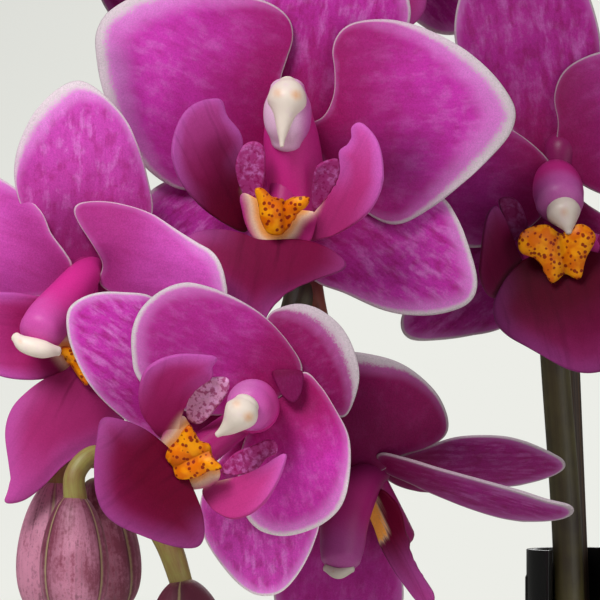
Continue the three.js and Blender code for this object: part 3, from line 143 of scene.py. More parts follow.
BLADES_C = {
    "petal_fold": Blade([3.6, 4.7], [4.2, 0.3], [-1.1, -0.9, 0.4, 0, 0.5, 0], [
        [1.4, 4.6], [3.3, 5], [5.6, 4.7], [5.7, 2.8], [5.1, 1], [4.2, 0.3], [2.9, 1.3], [2.1, 2.8]]),
    "petal_upper": Blade([3.2, 2.1], [-18, 10.4], [0, -4, 4.6, 0, 1.2, 0], [
        [5.7, 4.7], [3.6, 8.8], [0.3, 12.4], [-3.6, 14.9], [-7.8, 16.6], [-11.1, 17], [-14.2, 15.9],
        [-16.8, 13.6], [-18.1, 10.7], [-18.2, 7.4], [-17.4, 3.8], [-14.2, 0.7], [-8.6, -1.4], [-2.4, -1],
        [2.5, 1]]),
    "petal_right": Blade([3.6, 1.8], [8.8, -16.4], [0, -4, 4.6, 0, 1.2, 0], [
        [5.7, 4.7], [8.2, 2.6], [10.4, -0.8], [12, -3.9], [12.4, -7], [12.1, -10.7], [11.1, -14.1],
        [8.9, -16.4], [6, -17.8], [2.9, -18.4], [0, -17.7], [-2.2, -15.7], [-3.3, -11.8], [-3.1, -7],
        [-1, -1.8], [2.5, 1.8]]),
    "dorsal": Blade([0, 1.8], [12.8, 9], [3, -1.5, 1.5, 0, 1, 0], [
        [0, 1.4], [0, 7.7], [0.7, 12.2], [2.6, 13.6], [5.4, 14.1], [8.4, 13.1], [11, 11], [12.7, 8.1],
        [13.6, 4.6], [13.1, 1.1], [11.4, -1.9], [8.1, -0.4], [3.9, 0.7]]),
    "lateral_left": Blade([-4.2, -1.5], [-26.7, 12.4], [4, -1.5, 0.5, 0, 0.8, 0], [
        [-3.8, -0.7], [-8.6, 6.3], [-12.5, 12.5], [-15.6, 15.2], [-19.2, 15.7], [-22.8, 15.7],
        [-25.6, 14.8], [-27.3, 13.1], [-27.3, 9.9], [-26.2, 6.5], [-24.2, 2.8], [-21.4, -0.4],
        [-17.3, -3.5], [-12.1, -5.7], [-6.5, -4.9]]),
    "lateral_low": Blade([-1.9, -4.9], [0.1, -26.9], [4, -1.5, 1, 0, 0.8, 0], [
        [-1.7, -3.5], [-6.5, -8.4], [-8.6, -13.2], [-8.5, -17.4], [-7.5, -20], [-5.2, -23.2],
        [-2.6, -25.8], [0, -26.9], [2.8, -26.3], [5.3, -23.5], [7.2, -19.6], [8.1, -16], [7, -11.1],
        [3.2, -5.6]]),
    "side_left": Blade([-11.7, -4.6], [-7.9, 7], [-4, -8, 2, -2, -1.5, 0], [
        [-12, -5.7], [-13.8, -4.6], [-15.3, -2.9], [-16.6, -0.7], [-16.8, 2.1], [-16, 4.7], [-14.1, 6.4],
        [-11.4, 7.2], [-8.6, 7.2], [-6, 6.7], [-6.7, 5.4], [-6.7, 4], [-8.8, 2.6], [-10.3, 1.1],
        [-11.3, -1.4], [-11.4, -3.8]]),
    "side_right": Blade([-7.5, -11.4], [3.2, -7], [-4, -8, 2, 2, -1.5, 0], [
        [-8.2, -11.8], [-7.5, -13.4], [-6, -14.8], [-4, -15.5], [-1.7, -14.8], [0.3, -13.2], [1.8, -11.1],
        [2.9, -8.8], [3.5, -6.5], [2.1, -7], [0.3, -8.2], [-2.4, -9.5], [-5.6, -10.3], [-7.2, -10.6]]),
    "flap_left": Blade([-9.3, -1.8], [-5, 3.5], [-4.4, -3, 0, 0, -0.5, 0], [
        [-4.5, 3.8], [-6.5, 4], [-8.6, 3.2], [-10, 1.4], [-10.4, -0.7], [-10, -2.2], [-8.2, -2.4],
        [-6.1, -0.1], [-4.7, 1.7]]),
    "flap_right": Blade([-5, -8.8], [1.7, -5], [-4.4, -3, 0, 0, -0.5, 0], [
        [2.1, -5], [0.8, -4.6], [-1.1, -5.4], [-3.3, -6.3], [-5, -7.8], [-5.7, -9.3], [-3.3, -9.6],
        [-0.8, -8.9], [0.6, -7.1], [2.1, -6.5]]),
    "midlobe": Blade([-10.6, -7.9], [-20, -15.7], [-6, -6, 3, 0, 1.2, 0], [
        [-22.1, -1.7], [-19.8, -1.7], [-16.7, -2.9], [-13.8, -4.9], [-11.7, -7], [-10.2, -9.7],
        [-9, -12.4], [-8.1, -15], [-7.8, -17.7], [-8.5, -19.3], [-10.3, -19.6], [-12.8, -19.1],
        [-16.3, -17.8], [-19.6, -16.4], [-21.7, -14.6], [-22.8, -11.8], [-23, -7.9], [-22.7, -4.5]]),
    "callus": Blade([-11.1, -7.9], [-7, -6], [-7.6, -1.4, 0, 0, -0.6, 0], [
        [-9.7, -2.4], [-8.8, -4.6], [-7, -5.3], [-6.8, -6.7], [-5.3, -8.5], [-7.2, -8.9], [-8.6, -9.7],
        [-11.4, -10], [-12.2, -8.2], [-13.1, -7], [-12.5, -5.6], [-11.6, -4.7], [-10.6, -3.2]]),
    "cup": Blade([-12, -9.6], [-7.6, -4], [-5.2, 0.4, 0, 0, -0.4, 0], [
        [-10.8, -1.3], [-12.4, -2.1], [-13.9, -4.4], [-14.2, -7.4], [-13, -9.8], [-11, -11.4],
        [-8.6, -11.5], [-6.4, -10.8], [-5.6, -9.2], [-6.8, -7.4], [-8.5, -4.8], [-10, -2.4]]),
}
BLADES_D = {
    "petal_near": Blade([0.1, -1.3], [2.7, 16], [-1, -9, 2, 0, 2, 0], [
        [-1.9, -1.9], [-6.7, -0.7], [-10.5, 2.9], [-11.6, 7.9], [-10.5, 12.5], [-7.2, 15.3], [-2.9, 16.3],
        [1, 15.9], [4.7, 14.8], [7.9, 12.7], [10.5, 9.9], [11.9, 6.4], [11.3, 4], [8.2, 2.3], [4.7, 1.3],
        [2.7, -0.7]]),
    "petal_far": Blade([-1, -3.3], [-4.2, -28.5], [1, 9, -2, 0, 2, 0], [
        [-2.9, -1.9], [-6.7, -5], [-10.7, -10], [-13, -15.8], [-12.7, -21.5], [-9.3, -26.5], [-3.6, -28.6],
        [1.9, -26.8], [5.2, -22.2], [5.7, -17.6], [4.2, -13], [1.6, -7.9], [0.1, -3.3]]),
    "dorsal": Blade([0.4, -0.1], [-16.9, -4.7], [-1, -3, 0, 0, 1, 0], [
        [1, -1.9], [-2.9, -3.3], [-7.9, -5], [-12.9, -6.7], [-16.5, -6.2], [-17.3, -3.3], [-15.3, -0.1],
        [-10.7, 2.1], [-5, 2.7], [-0.4, 1.9]]),
    "lateral_far": Blade([3.3, -0.4], [29.2, -0.4], [2, 7, -1, -4.5, 0.6, 0], [
        [2.7, -0.7], [5, 1.3], [9.3, 2.7], [12.9, 3.9], [16.8, 4.2], [20.8, 3.9], [24.5, 2.7], [27.4, 1.4],
        [29.1, 0.3], [29.1, -1], [26.5, -2.3], [22.2, -3.3], [16.5, -3.9], [10.7, -4.3], [6.2, -3.7],
        [3.3, -2.4]]),
    "lateral_near": Blade([1.9, 0.7], [29.5, -6.2], [-2, -9, 1, -5, 0.6, 0], [
        [1.9, 1.9], [5, 1.3], [9.6, -0.1], [15.3, -1.6], [21.1, -3.2], [25.9, -4.7], [28.9, -5.3],
        [29.5, -6.3], [28.1, -7.4], [24.3, -7.9], [19.9, -7.6], [15, -6.2], [10.5, -4.4], [6.2, -2.4],
        [3, -1.1], [1.4, 0.4]]),
    "lip": Blade([1.6, -4.7], [9.6, -19.6], [-1.5, -3, 1, -1, -0.8, 0], [
        [1.9, -3.3], [3.9, -4.7], [5.2, -7], [5.7, -9.5], [6.3, -10.7], [6.3, -12.6], [7.3, -14.5],
        [8.7, -16.6], [9.9, -18.5], [9.5, -19.9], [7.6, -19.6], [5.9, -17.6], [3.9, -14.8], [2.3, -11.9],
        [1.3, -9], [0.4, -6.4]]),
}
BLADES_E = {
    "dorsal": Blade([-0.3, -1.8], [-5.1, 31.8], [2.4, -2, 3, 0, 1.5, 0], [
        [-2.1, -2.7], [-7, 2.7], [-12.3, 9.3], [-15.6, 15], [-16, 19.8], [-14.4, 25.5], [-10.8, 30],
        [-5.5, 31.8], [-0.3, 30], [3.6, 24.9], [5.5, 19.5], [6.1, 14.7], [5.4, 8.2], [3.4, 1.5],
        [1.5, -2.7]]),
    "petal_right": Blade([0.3, -2.2], [22.5, 4.8], [0.3, -6, 7.5, 0, 2, 0], [
        [0, -2.7], [-0.9, 0.7], [-0.6, 4.2], [-1.2, 7.8], [-0.3, 11.1], [1.8, 13.2], [5.7, 14.8],
        [11.7, 15.6], [18.3, 13.2], [22.5, 7.5], [21.9, 0.7], [17.1, -5.1], [10.2, -7.5], [4.2, -6]]),
    "petal_left": Blade([-1.5, -2.7], [-24.9, -2.2], [0.3, -6, 7.5, 0, 2, 0], [
        [-0.9, -3.3], [-4.8, 1.2], [-11.1, 4.8], [-17.4, 6.3], [-22.8, 3.9], [-25.2, -1.5], [-24.3, -7.8],
        [-19.8, -12.9], [-13, -14.7], [-6.3, -12.7], [-1.8, -8.2]]),
    "lateral_left": Blade([-0.9, -7.5], [-24, -26.2], [2.8, -1.5, 2.5, 0, 1, 0], [
        [-0.9, -6], [-7.8, -9.7], [-15, -14.2], [-21, -19.2], [-23.8, -24.3], [-24.1, -27], [-22.5, -28.6],
        [-18.3, -28.6], [-13.5, -27.9], [-8.1, -26.4], [-2.5, -21], [1.2, -12]]),
    "lateral_right": Blade([1.5, -8.2], [23.7, -24], [2.8, -1.5, 2.5, 0, 1, 0], [
        [0.6, -6], [5.7, -9.3], [13.2, -12.7], [20.7, -16.8], [24, -21.7], [22.9, -26.2], [18, -27.6],
        [11.7, -24.7], [5.7, -19.5], [1.5, -12.7]]),
    "side_left": Blade([-6.4, -17.4], [-10.4, -8.6], [-4, -8, 2, -2, -1.5, 0], [
        [-6.1, -17.2], [-7.2, -20.3], [-9.2, -22.2], [-11.4, -21.8], [-12.6, -18.9], [-12.5, -15.3],
        [-12.1, -11.7], [-11.3, -9.2], [-10.3, -8.5], [-9.2, -10], [-8, -12.6], [-6.9, -15.4]]),
    "side_right": Blade([4.2, -16.8], [11.7, -7.5], [-4, -8, 2, 2, -1.5, 0], [
        [3.9, -16.8], [7.2, -18.3], [10.8, -17.7], [13.5, -14.4], [13.5, -10.2], [11.1, -7.2], [7.8, -8.1],
        [6, -11.1], [4.8, -14.1]]),
    "flap_left": Blade([-6.4, -13.5], [-8.8, -7.5], [-5, -3, 0, 0, -0.5, 0], [
        [-9.9, -7.7], [-8.3, -7.2], [-6.5, -8.6], [-5.5, -11.6], [-5.9, -13.4], [-7.3, -13.6], [-8.7, -12],
        [-9.2, -10]]),
    "midlobe": Blade([-0.9, -15.9], [3.6, -33.3], [-6, -6, 3, 0, 1.2, 0], [
        [-5.7, -16.2], [-8.4, -18.9], [-10.5, -22.5], [-10.5, -25.5], [-8.8, -27.7], [-5.7, -29.5],
        [-2.5, -31.3], [0.3, -32.8], [3.3, -33.4], [6.6, -32.7], [11.4, -30], [15.3, -25.8], [14.7, -21.3],
        [10.5, -17.4], [4.2, -15.3], [-0.9, -14.7]]),
    "callus": Blade([0, -19.5], [-1.5, -11.7], [-8.2, -1, 0, 0, -0.6, 0], [
        [-6.9, -12.9], [-5.1, -11.7], [-2.7, -11.4], [-0.9, -12.9], [0.6, -11.7], [2.7, -11.4],
        [4.5, -13.2], [3, -16.2], [2.1, -19.5], [0, -18.6], [-2.1, -20.1], [-3.3, -17.7], [-4.8, -16.2],
        [-6.9, -15.3]]),
    "cup": Blade([-0.5, -19.6], [-0.8, -12.4], [-5.6, 0.6, 0, 0, -0.4, 0], [
        [-6.4, -13.2], [-6, -16.4], [-4.4, -18.4], [-1.6, -19.6], [1.5, -19.4], [3.8, -17.4], [5.2, -15.2],
        [5.4, -12.8], [0, -12.3]]),
}

# Kinds of blade, by the start of their names: the part of the bloom that it belongs to, thickness, height
# of the waves, how far the rim curls and how wide the curl is, in millimetres. fine is the count of grid
# lines where it isn't the bloom's own, inset keeps the margin off a blade, pale scales its margin, and
# wine, fleck and groove are how wine-dark, flecked and grooved it is.

PLAIN_BLADE = {"part": "lip", "curl": 0, "curl_width": 1, "pale": 1, "inset": 0, "wine": 0, "fleck": 0,
               "groove": 0}
SEPAL = {"part": "sepals", "thick": 0.5, "wave": 0.8, "curl": 0.4, "curl_width": 3, "pale": 0.4}
SIDE_LOBE = {"thick": 0.7, "wave": 0.3, "curl": 0.3, "curl_width": 1.5}
MIDDLE_LOBE = {"thick": 0.7, "wave": 0.4, "curl": 0.4, "curl_width": 2, "wine": 1, "groove": 1}
BLADE_KINDS = {
    "petal_fold": {"part": "petals", "thick": 0.5, "wave": 0.1, "fine": 14, "inset": 5},
    "petal": {"part": "petals", "thick": 0.5, "wave": 0.9, "curl": 0.5, "curl_width": 3.5},
    "dorsal": SEPAL,
    "lateral": SEPAL,
    "side_left": {**SIDE_LOBE, "wine": 0.85},
    "side_right": {**SIDE_LOBE, "wine": 0.45},
    "flap": {"thick": 0.6, "wave": 0.3, "fine": 14, "fleck": 1},
    "cup": {"thick": 0.6, "wave": 0.1, "fine": 14},
    "midlobe": MIDDLE_LOBE,
    "lip": MIDDLE_LOBE,
}
CALLUS = {"fine": 20, "thick": 1.1}

# How closely the broad and the fine waves of a blade lie, and the height of the fine ones as a share of
# the broad ones' height

BROAD_WAVES = 0.085
FINE_WAVES = 0.21
FINE_SHARE = 0.35

# How far the cream of a lip reaches from its callus, and how far and how strongly it reaches from its
# own line on a lip that is seen from its side

CREAM_REACH = 1.7
LINE_REACH = 1.6
LINE_STRENGTH = 1.4

# Blooms. at is the middle of a bloom, roll turns it as it is seen, and fine is the count of grid lines of
# its blades. Paths are [x, y, z, radius] in millimetres: column, hood and cap from the middle of the
# bloom, stalk from the centre of the underside of the pot. hub is the x and z where the column starts.
# A bloom's painted light and shade dim or brighten all of it, and dim is the painted shade at the column's
# foot. deep draws a bloom towards wine, or below 0 towards lilac, which on bloom_b partly stands in for a
# painted sheen. shade gives some blades painted light and shade and a deep of their own, and wine gives
# some lobes their own. pale widens the margins, clear whitens the end of the column, and shadow, a painted
# shadow, takes that from the right of its hood. cream is the line of the pale patch on a lip that is seen
# from its side, or empty where the callus has none beside it.

UPRIGHT_COLUMN = {
    "column": [[0.8, -0.2, -12.5, 3.6], [0.6, -1, -7, 4.2], [0.1, -2.8, -2, 4], [-0.2, -4.6, 2, 3.2]],
    "hood": [[-0.5, -5.4, -2.6, 2.3], [-0.4, -6.1, -0.4, 3.3], [-0.4, -6.4, 2.4, 3.4], [-0.4, -6.3, 5, 2.5]],
    "cap": [[-0.4, -7, 5.7, 1.3], [-0.4, -7.7, 4.6, 2.4], [-0.5, -8.4, 2.8, 2.8], [-0.8, -9, 0.8, 1.6],
            [-1.1, -9.4, -1.4, 0.8], [-1.2, -9.5, -3.4, 0.3]],
}
BLOOMS = {
    "bloom_a": {
        **UPRIGHT_COLUMN, "at": [-23.4, -55, 300.4], "blades": BLADES_A, "roll": 0, "fine": 28,
        "tone": 1.0, "dim": 1, "deep": 0.0, "pale": 1.35, "clear": 1.0, "shadow": 0.55,
        "wine": {"side_left": 1.0, "midlobe": 0.85},
        "shade": {"side_right": [1.3, -0.06], "dorsal": [0.95, 0.2], "flap_left": [1.05, 0.1],
                  "flap_right": [0.95, 0.2]},
        "stalk": [[-23.4, -53.5, 299.5, 1.6], [-23, -46, 301.5, 1.4], [-22.5, -38, 302, 1.4],
                  [-22.2, -29.6, 300, 1.6]],
    },
    "bloom_b": {
        "at": [-52.8, -63, 279.3], "blades": BLADES_B, "roll": 0, "fine": 24,
        "tone": 1.15, "dim": 0.8, "deep": -0.3, "pale": 0.4, "clear": 0.35,
        "wine": {"midlobe": 0.45, "side_left": 0.6},
        "shade": {"dorsal": [1, -0.2], "side_left": [1, 0], "midlobe": [1, -0.05]},
        "column": [[1.6, 2.4, 0.8, 1.6], [-0.2, -0.8, -1, 2.4], [-2.4, -4.6, -4, 2.9],
                   [-4.6, -8.2, -7, 3.3], [-5.7, -10.2, -8.7, 3.2]],
        "cap": [[-9.2, -11.4, -9.5, 0.7], [-7.9, -12.2, -10.5, 1.2], [-5.4, -12.4, -11.2, 1.3],
                [-3.2, -11.6, -11.5, 0.7]],
        "stalk": [[-52.6, -61.5, 279.3, 1.6], [-51, -53, 279.8, 1.4], [-47, -46.5, 281.5, 1.3],
                  [-40, -43, 284.5, 1.3], [-31, -40, 288, 1.4], [-22.4, -37.4, 289.2, 1.6]],
    },
    "bloom_c": {
        "at": [-27.3, -81, 260.4], "blades": BLADES_C, "roll": 0, "fine": 28,
        "tone": 1.0, "dim": 0.75, "deep": 0.5, "pale": 0.5, "clear": 0.5, "shadow": 0.8,
        "wine": {"side_left": 0.55, "side_right": 0.3},
        "shade": {"lateral_low": [1.45, -0.15], "lateral_left": [1.05, 0], "side_left": [1.2, 0],
                  "side_right": [1.35, -0.08], "petal_right": [1.25, 0.2], "petal_upper": [0.95, 0.5],
                  "dorsal": [0.85, 0.9], "petal_fold": [0.6, 0.9], "flap_left": [1.2, -0.5],
                  "flap_right": [1.1, 0.1]},
        "column": [[-1, 0, -0.6, 3.4], [-1.2, -4, -0.2, 3.7]],
        "hood": [[-1, -5, 0.6, 2.9], [-1.2, -7.6, 0.2, 3.6], [-1.6, -9.6, -0.2, 3.2]],
        "cap": [[-2, -12, 0.4, 1.8], [-2.8, -12.6, -0.9, 2.4], [-4.3, -12.1, -2.6, 1.3],
                [-6, -11.4, -3.8, 0.4]],
        "stalk": [[-27.3, -80, 260.4, 1.6], [-27.2, -70, 260.8, 1.4], [-27.4, -61, 262, 1.4],
                  [-27.8, -53.5, 263.5, 1.6]],
    },
    "bloom_d": {
        "at": [-12.7, -63, 251.4], "blades": BLADES_D, "roll": 0, "fine": 24,
        "tone": 0.6, "dim": 0.5, "deep": 1.0, "pale": 0.3, "clear": 0.4, "wine": {},
        "shade": {"lip": [1.55, 0], "petal_near": [0.9, 0.95], "lateral_near": [1.1, 0.4],
                  "lateral_far": [1, 0.55], "petal_far": [1.35, 0.4]},
        "column": [[2, 1, -1, 1.8], [-0.8, -2.4, -3, 3], [-2.8, -5.6, -7.2, 3.4], [-3.3, -7.2, -11, 3.2],
                   [-3.5, -8, -12.8, 2.9]],
        "cap": [[-5.6, -8.3, -14.2, 0.6], [-3.9, -8.9, -15, 0.8], [-2, -8.5, -14.3, 0.6]],
        "stalk": [[-12.9, -62, 251.8, 1.6], [-13.6, -58.5, 255, 1.4], [-16, -52, 262, 1.4],
                  [-19.2, -47.5, 272, 1.5], [-20.8, -45.6, 280, 1.7]],
        "cream": [0.2, -5.8, 1.4, -9.4],
    },
    "bloom_e": {
        "at": [17.3, -33, 297.5], "blades": BLADES_E, "roll": 0, "fine": 22,
        "tone": 0.68, "dim": 0.6, "deep": 0.35, "pale": 0.6, "clear": 0.5, "wine": {},
        "shade": {"midlobe": [0.85, 0], "petal_right": [0.9, 0.6], "flap_left": [0.75, 0.55],
                  "side_left": [0.85, 0]},
        "hub": [-0.4, -3.4],
        "column": [[-1, 1, -3.9, 2.2], [-1, -1.6, -4.6, 3.3], [-0.9, -4.6, -6.2, 3.8],
                   [-0.8, -7.2, -8, 3.6]],
        "cap": [[-0.5, -8.3, -9, 2.4], [-0.2, -8.9, -9.9, 2.5], [0.2, -9.6, -11.4, 1.3],
                [0.4, -9.9, -12.5, 0.5]],
        "stalk": [[17.2, -31, 296.3, 1.6], [17.6, -22, 297, 1.4], [17.2, -8, 299, 1.4],
                  [16.2, 3.6, 303, 1.6]],
        "cream": [],
    },
    "bloom_f": {
        "at": [-14, -24, 346], "blades": BLADES_E, "roll": 10, "fine": 18,
        "tone": 0.85, "dim": 0.55, "deep": 0.2, "pale": 1.0, "clear": 0.7, "wine": {"midlobe": 0.1},
        "shade": {},
        "column": [[-0.2, 1, -0.6, 2], [-0.5, -1.6, -2.6, 3], [-0.8, -4.6, -5.2, 3.8],
                   [-0.8, -7.2, -7.8, 3.6]],
        "cap": [[-0.3, -7.7, -8, 3], [-0.1, -8.9, -9.6, 2.6], [0.2, -9.7, -11.2, 1.3],
                [0.4, -9.9, -12.6, 0.4]],
        "stalk": [[-14, -23.5, 346.5, 1.6], [-14, -20.5, 350, 1.4], [-13.2, -17.5, 354, 1.4],
                  [-12, -14.4, 356.6, 1.6]],
    },
    "bloom_g": {
        **UPRIGHT_COLUMN, "at": [-40, -44, 340], "blades": BLADES_A, "roll": 40, "fine": 18,
        "tone": 0.75, "dim": 0.75, "deep": 0.2, "pale": 1.0, "clear": 0.7, "shadow": 0.5, "wine": {},
        "shade": {},
        "stalk": [[-40, -43.5, 340, 1.6], [-39, -38, 331, 1.4], [-33, -32, 316, 1.4],
                  [-27, -26.5, 309.5, 1.4], [-21.8, -22.6, 310.4, 1.6]],
    },
}

# Creases of a blade: x and z of both ends, width, depth away from the viewer, and how much painted shade
# darkens the surface along it

CREASES = {
    ("bloom_a", "petal_left"): [[-24.6, 8.5, -22.5, -3, 2.6, 0.7, 0.3]],
    ("bloom_a", "petal_right"): [[10, -7, 17, -7, 5.5, 0.5, 0.55]],
    ("bloom_a", "side_left"): [[-8.6, -10, -9.8, -4, 2.2, 0.5, 0.25]],
    ("bloom_b", "petal_right"): [[-1.9, 8.8, 1.2, 3.6, 3, -1.9, 0.05], [2.6, 1, 8, -4, 4, 0, 0.15]],
    ("bloom_b", "petal_left"): [[-8.6, 10.8, -3, 3, 3, -2, 0.05], [-4, -1, -11, -2, 4, 0, 0.15]],
    ("bloom_b", "dorsal"): [[-1.3, 1, -3.5, 8, 3.4, 0, 0.3]],
    ("bloom_c", "petal_right"): [[1.2, 5.2, 5.6, 0.2, 2.4, 0.5, 0.35]],
}

# Where the pale margin of a blade is wider: x and z of both ends, reach and how much wider

PALE_EDGES = {
    ("bloom_b", "dorsal"): [[-9.5, 16.2, -1.6, 27.1, 3.4, 1.1]],
    ("bloom_c", "dorsal"): [[6, 13.8, 13.2, 5.5, 3.4, 1.3]],
    ("bloom_d", "petal_near"): [[-9.5, 14.2, 2, 16, 3.4, 0.9]],
    ("bloom_e", "petal_left"): [[-25.2, -1.5, -19.8, -12.9, 6, 0.6]],
}

# Spike, stake, stem and roots, as [x, y, z, radius] in the pot. Bracts are x, y, z and the way they face.

SPIKE = [
    [2, -4, 84, 2.6], [9, -9.5, 92, 2.6], [14.5, -10, 112, 2.5], [18.6, -4.5, 150, 2.4],
    [20.4, 1.5, 190, 2.4], [20.7, 3.8, 215, 2.4], [20.3, 5, 238, 2.4], [18.4, 5, 265, 2.3],
    [16.1, 4, 298, 2.3], [13.6, 0.5, 324, 2.2], [9, -4.5, 346, 2.2], [2, -9, 360, 2.2],
    [-6, -12, 363.5, 2.2], [-13, -14, 355, 2.2], [-18, -16, 340, 2.2], [-20.4, -17.6, 326, 2.2],
    [-21.6, -20.8, 313, 2.2], [-22.3, -29, 300, 2.2], [-22.3, -38, 288.5, 2.3], [-21.6, -45.4, 277, 2.6],
    [-24.4, -49, 269, 2.3], [-29.4, -55, 261.4, 2.2], [-35.6, -61, 255, 2.1], [-41.3, -65, 249.6, 2],
    [-45.3, -67, 246.4, 1.2],
]
BRACTS = [
    [18.6, -4.5, 150, 205], [20.6, 3, 205, 25], [16.1, 4, 300, 250], [-12, -13.7, 357, 300],
    [-21.6, -20.8, 313, 160], [-22.3, -29, 300, 280], [-22.3, -37.4, 289.4, 180],
]
STAKE = [[29.9, -11.3, 22, 1.5], [20.1, 15.6, 298, 1.5]]

# A bract, as steps of how far out, how far up and radius

BRACT = [[1.2, 0, 1.5], [2.2, 2.2, 1.35], [2.7, 4.6, 0.4]]

# Buds: middle, radius and half height, lean in degrees, the way that the first seam faces, how much
# darker than the others a bud is, or below 0 lighter, and stalk

BUDS = {
    "bud_front": {
        "at": [-53.6, -77, 238.7], "size": [4.9, 9.3], "lean": 0, "turn": 90, "dusk": -0.15,
        "stalk": [[-53.4, -77, 246.2, 1.7], [-53.5, -77, 250.6, 1.5], [-51, -75.6, 253.2, 1.4],
                  [-47.4, -71.5, 252.3, 1.3], [-44, -67.2, 249.6, 1.4]],
    },
    "bud_left": {
        "at": [-57.4, -66.5, 239.6], "size": [4.9, 9.9], "lean": 4, "turn": 30, "dusk": -1,
        "stalk": [[-57, -66.5, 248, 1.6], [-55.6, -65.5, 251.6, 1.4], [-50, -63.2, 252, 1.3],
                  [-44.3, -63.4, 248.8, 1.3]],
    },
    "bud_right": {
        "at": [-50.2, -58.2, 239.7], "size": [4.9, 9.8], "lean": -9, "turn": 80, "dusk": 0.1,
        "stalk": [[-48.9, -58.2, 247.8, 1.6], [-47.6, -58.4, 251.4, 1.4], [-44, -59.8, 252.8, 1.3],
                  [-40.2, -63.6, 250.6, 1.4]],
    },
    "bud_low": {
        "at": [-37.8, -73, 228.2], "size": [5.6, 7.6], "lean": -6, "turn": 20, "dusk": 0.75,
        "stalk": [[-38.5, -73, 234.4, 1.6], [-40.4, -71.8, 240, 1.8], [-42.8, -70, 243.8, 1.7],
                  [-45.4, -67.4, 246.2, 1.4]],
    },
}

# Leaves: the way each points, the height of its foot, length, width, the angle that it rises at and how
# far it droops from that. All start LEAF_START millimetres from the middle of the stem.

LEAVES = {
    "leaf_1": {"turn": 42, "base": 84, "length": 112, "width": 38, "rise": 24, "droop": 66},
    "leaf_2": {"turn": 214, "base": 86, "length": 106, "width": 37, "rise": 27, "droop": 66},
    "leaf_3": {"turn": 54, "base": 90, "length": 96, "width": 35, "rise": 40, "droop": 64},
    "leaf_4": {"turn": 228, "base": 92, "length": 88, "width": 33, "rise": 44, "droop": 64},
    "leaf_5": {"turn": 66, "base": 96, "length": 66, "width": 28, "rise": 58, "droop": 56},
    "leaf_6": {"turn": 243, "base": 98, "length": 44, "width": 20, "rise": 68, "droop": 40},
}
LEAF_START = 4.5

STEM = [[0, 0, 62, 5.6], [0, 0, 80, 7], [0, 0, 98, 6], [0, 0, 108, 2.6]]
ROOTS = [
    [[0, 0, 74, 2.2], [-12, -9, 81.5, 2.1], [-23, -16, 82, 2], [-29, -19, 77, 2], [-30, -17, 69, 1.8]],
    [[0, 0, 74, 2.2], [6, -13, 81, 2.1], [7, -25, 82, 2], [5, -32, 76, 2], [4, -33, 67, 1.8]],
    [[0, 0, 74, 2.2], [12, 11, 81, 2.1], [20, 21, 81.5, 2], [23, 24, 74, 1.8]],
    [[0, 0, 74, 2.2], [-7, 15, 81, 2.1], [-12, 26, 81.5, 2], [-15, 30, 74, 1.8]],
    [[0, 0, 68, 2.1], [-14, 4, 64, 2], [-22, 8, 50, 1.8]],
    [[0, 0, 68, 2.1], [9, -4, 60, 2], [16, -8, 42, 1.8]],
]

# Pots, as radius and height, the bark in them, and the drain holes: how many, their radius, how far they
# are from the middle, and the height and length of the drill

POT_PROFILE = [
    [0, 0], [37.6, 0], [38.9, 0.3], [39.8, 1.1], [40.1, 2.2], [47.7, 86], [47.8, 87.2], [47.1, 87.9],
    [46.2, 88], [45.2, 87.7], [44.7, 86.8], [44.4, 85.6], [36.6, 6.5], [35.9, 4.8], [34.4, 4], [0, 4],
]
LINER_PROFILE = [
    [0, 4.3], [33.4, 4.3], [34, 4.9], [42.2, 81.5], [43.2, 81.6], [43.4, 82], [43.4, 83.6], [43, 84],
    [41.6, 84], [41.2, 83.6], [32.9, 6], [32.4, 5.4], [0, 5.4],
]
DRAIN = {"count": 4, "radius": 2.6, "ring": 20, "height": 5, "depth": 6}
BARK = {"floor": 5.8, "top": 76.4, "radius": 39.2, "base_radius": 32.4, "chips": 170, "seed": 11}

# Chips of bark: length, width and height as shares of the chip size, the turn from one chip to the
# next, how far they stay from the rim, how rough and how tilted they are, and their bevel

CHIP_SHAPE = np.array([1, 0.62, 0.34])
CHIP_TURN = 2.39996
CHIP = {"rim": 5.5, "rough": 0.35, "tilt": 0.45, "bevel": 0.5}

# The clip: the gap under which its points are merged, the width of its rounded edges, both in
# millimetres, and the angles in degrees under which faces are one flat, and over which they meet at an
# edge that is rounded or kept sharp

CLIP = {"merge": 0.005, "round": 0.22, "flat_angle": 1, "round_angle": 50, "sharp_angle": 40}

# How finely pieces are made. Points of a mesh that are nearer than MERGE_GAP millimetres become one.

MERGE_GAP = 0.004
CURVE_STEPS = 24
RELAX_STEPS = 500
CREAM_STEPS = 60
DOME_RINGS = 5
LEAF_STEPS = 61
LEAF_AROUND = 49

# Where the start of the grid lies on the first ring of a tube. No path starts along this direction.

FIRST_SIDE = np.array([0.31, 0.87, 0.38])

# Lamps and camera, in metres, with each lamp's power as a share of the key light's

AIM = Vector((-0.022, -0.055, 0.275))
LAMPS = {
    "key": {"place": (-0.42, -0.72, 1.0), "size": 0.45, "share": 1},
    "fill": {"place": (0.75, -0.85, 0.40), "size": 0.8, "share": 0.32},
    "back": {"place": (0.2, 0.8, 0.75), "size": 0.7, "share": 0.4},
}
CAMERA = {"place": (-0.022, -0.705, 0.275), "lens": 269, "sensor": 36, "far": 50}

# Floor: the tone of its darker patches, and the shares of its radius where it starts to clear and where
# it is clear. Backdrop: the tone of its upper left, and how far across the view that is reached.

FLOOR = {"shade": 0.97, "full": 0.25, "clear": 0.95}
BACKDROP = {"shade": 0.84, "span": 0.16}


# Curves


def through(a, b, c, d, t):
    """The point at t, from 0 at b to 1 at c, on a smooth curve through a, b, c and d."""
    return 0.5 * (2 * b + (c - a) * t + (2 * a - 5 * b + 4 * c - d) * t**2 + (3 * b - a - 3 * c + d) * t**3)


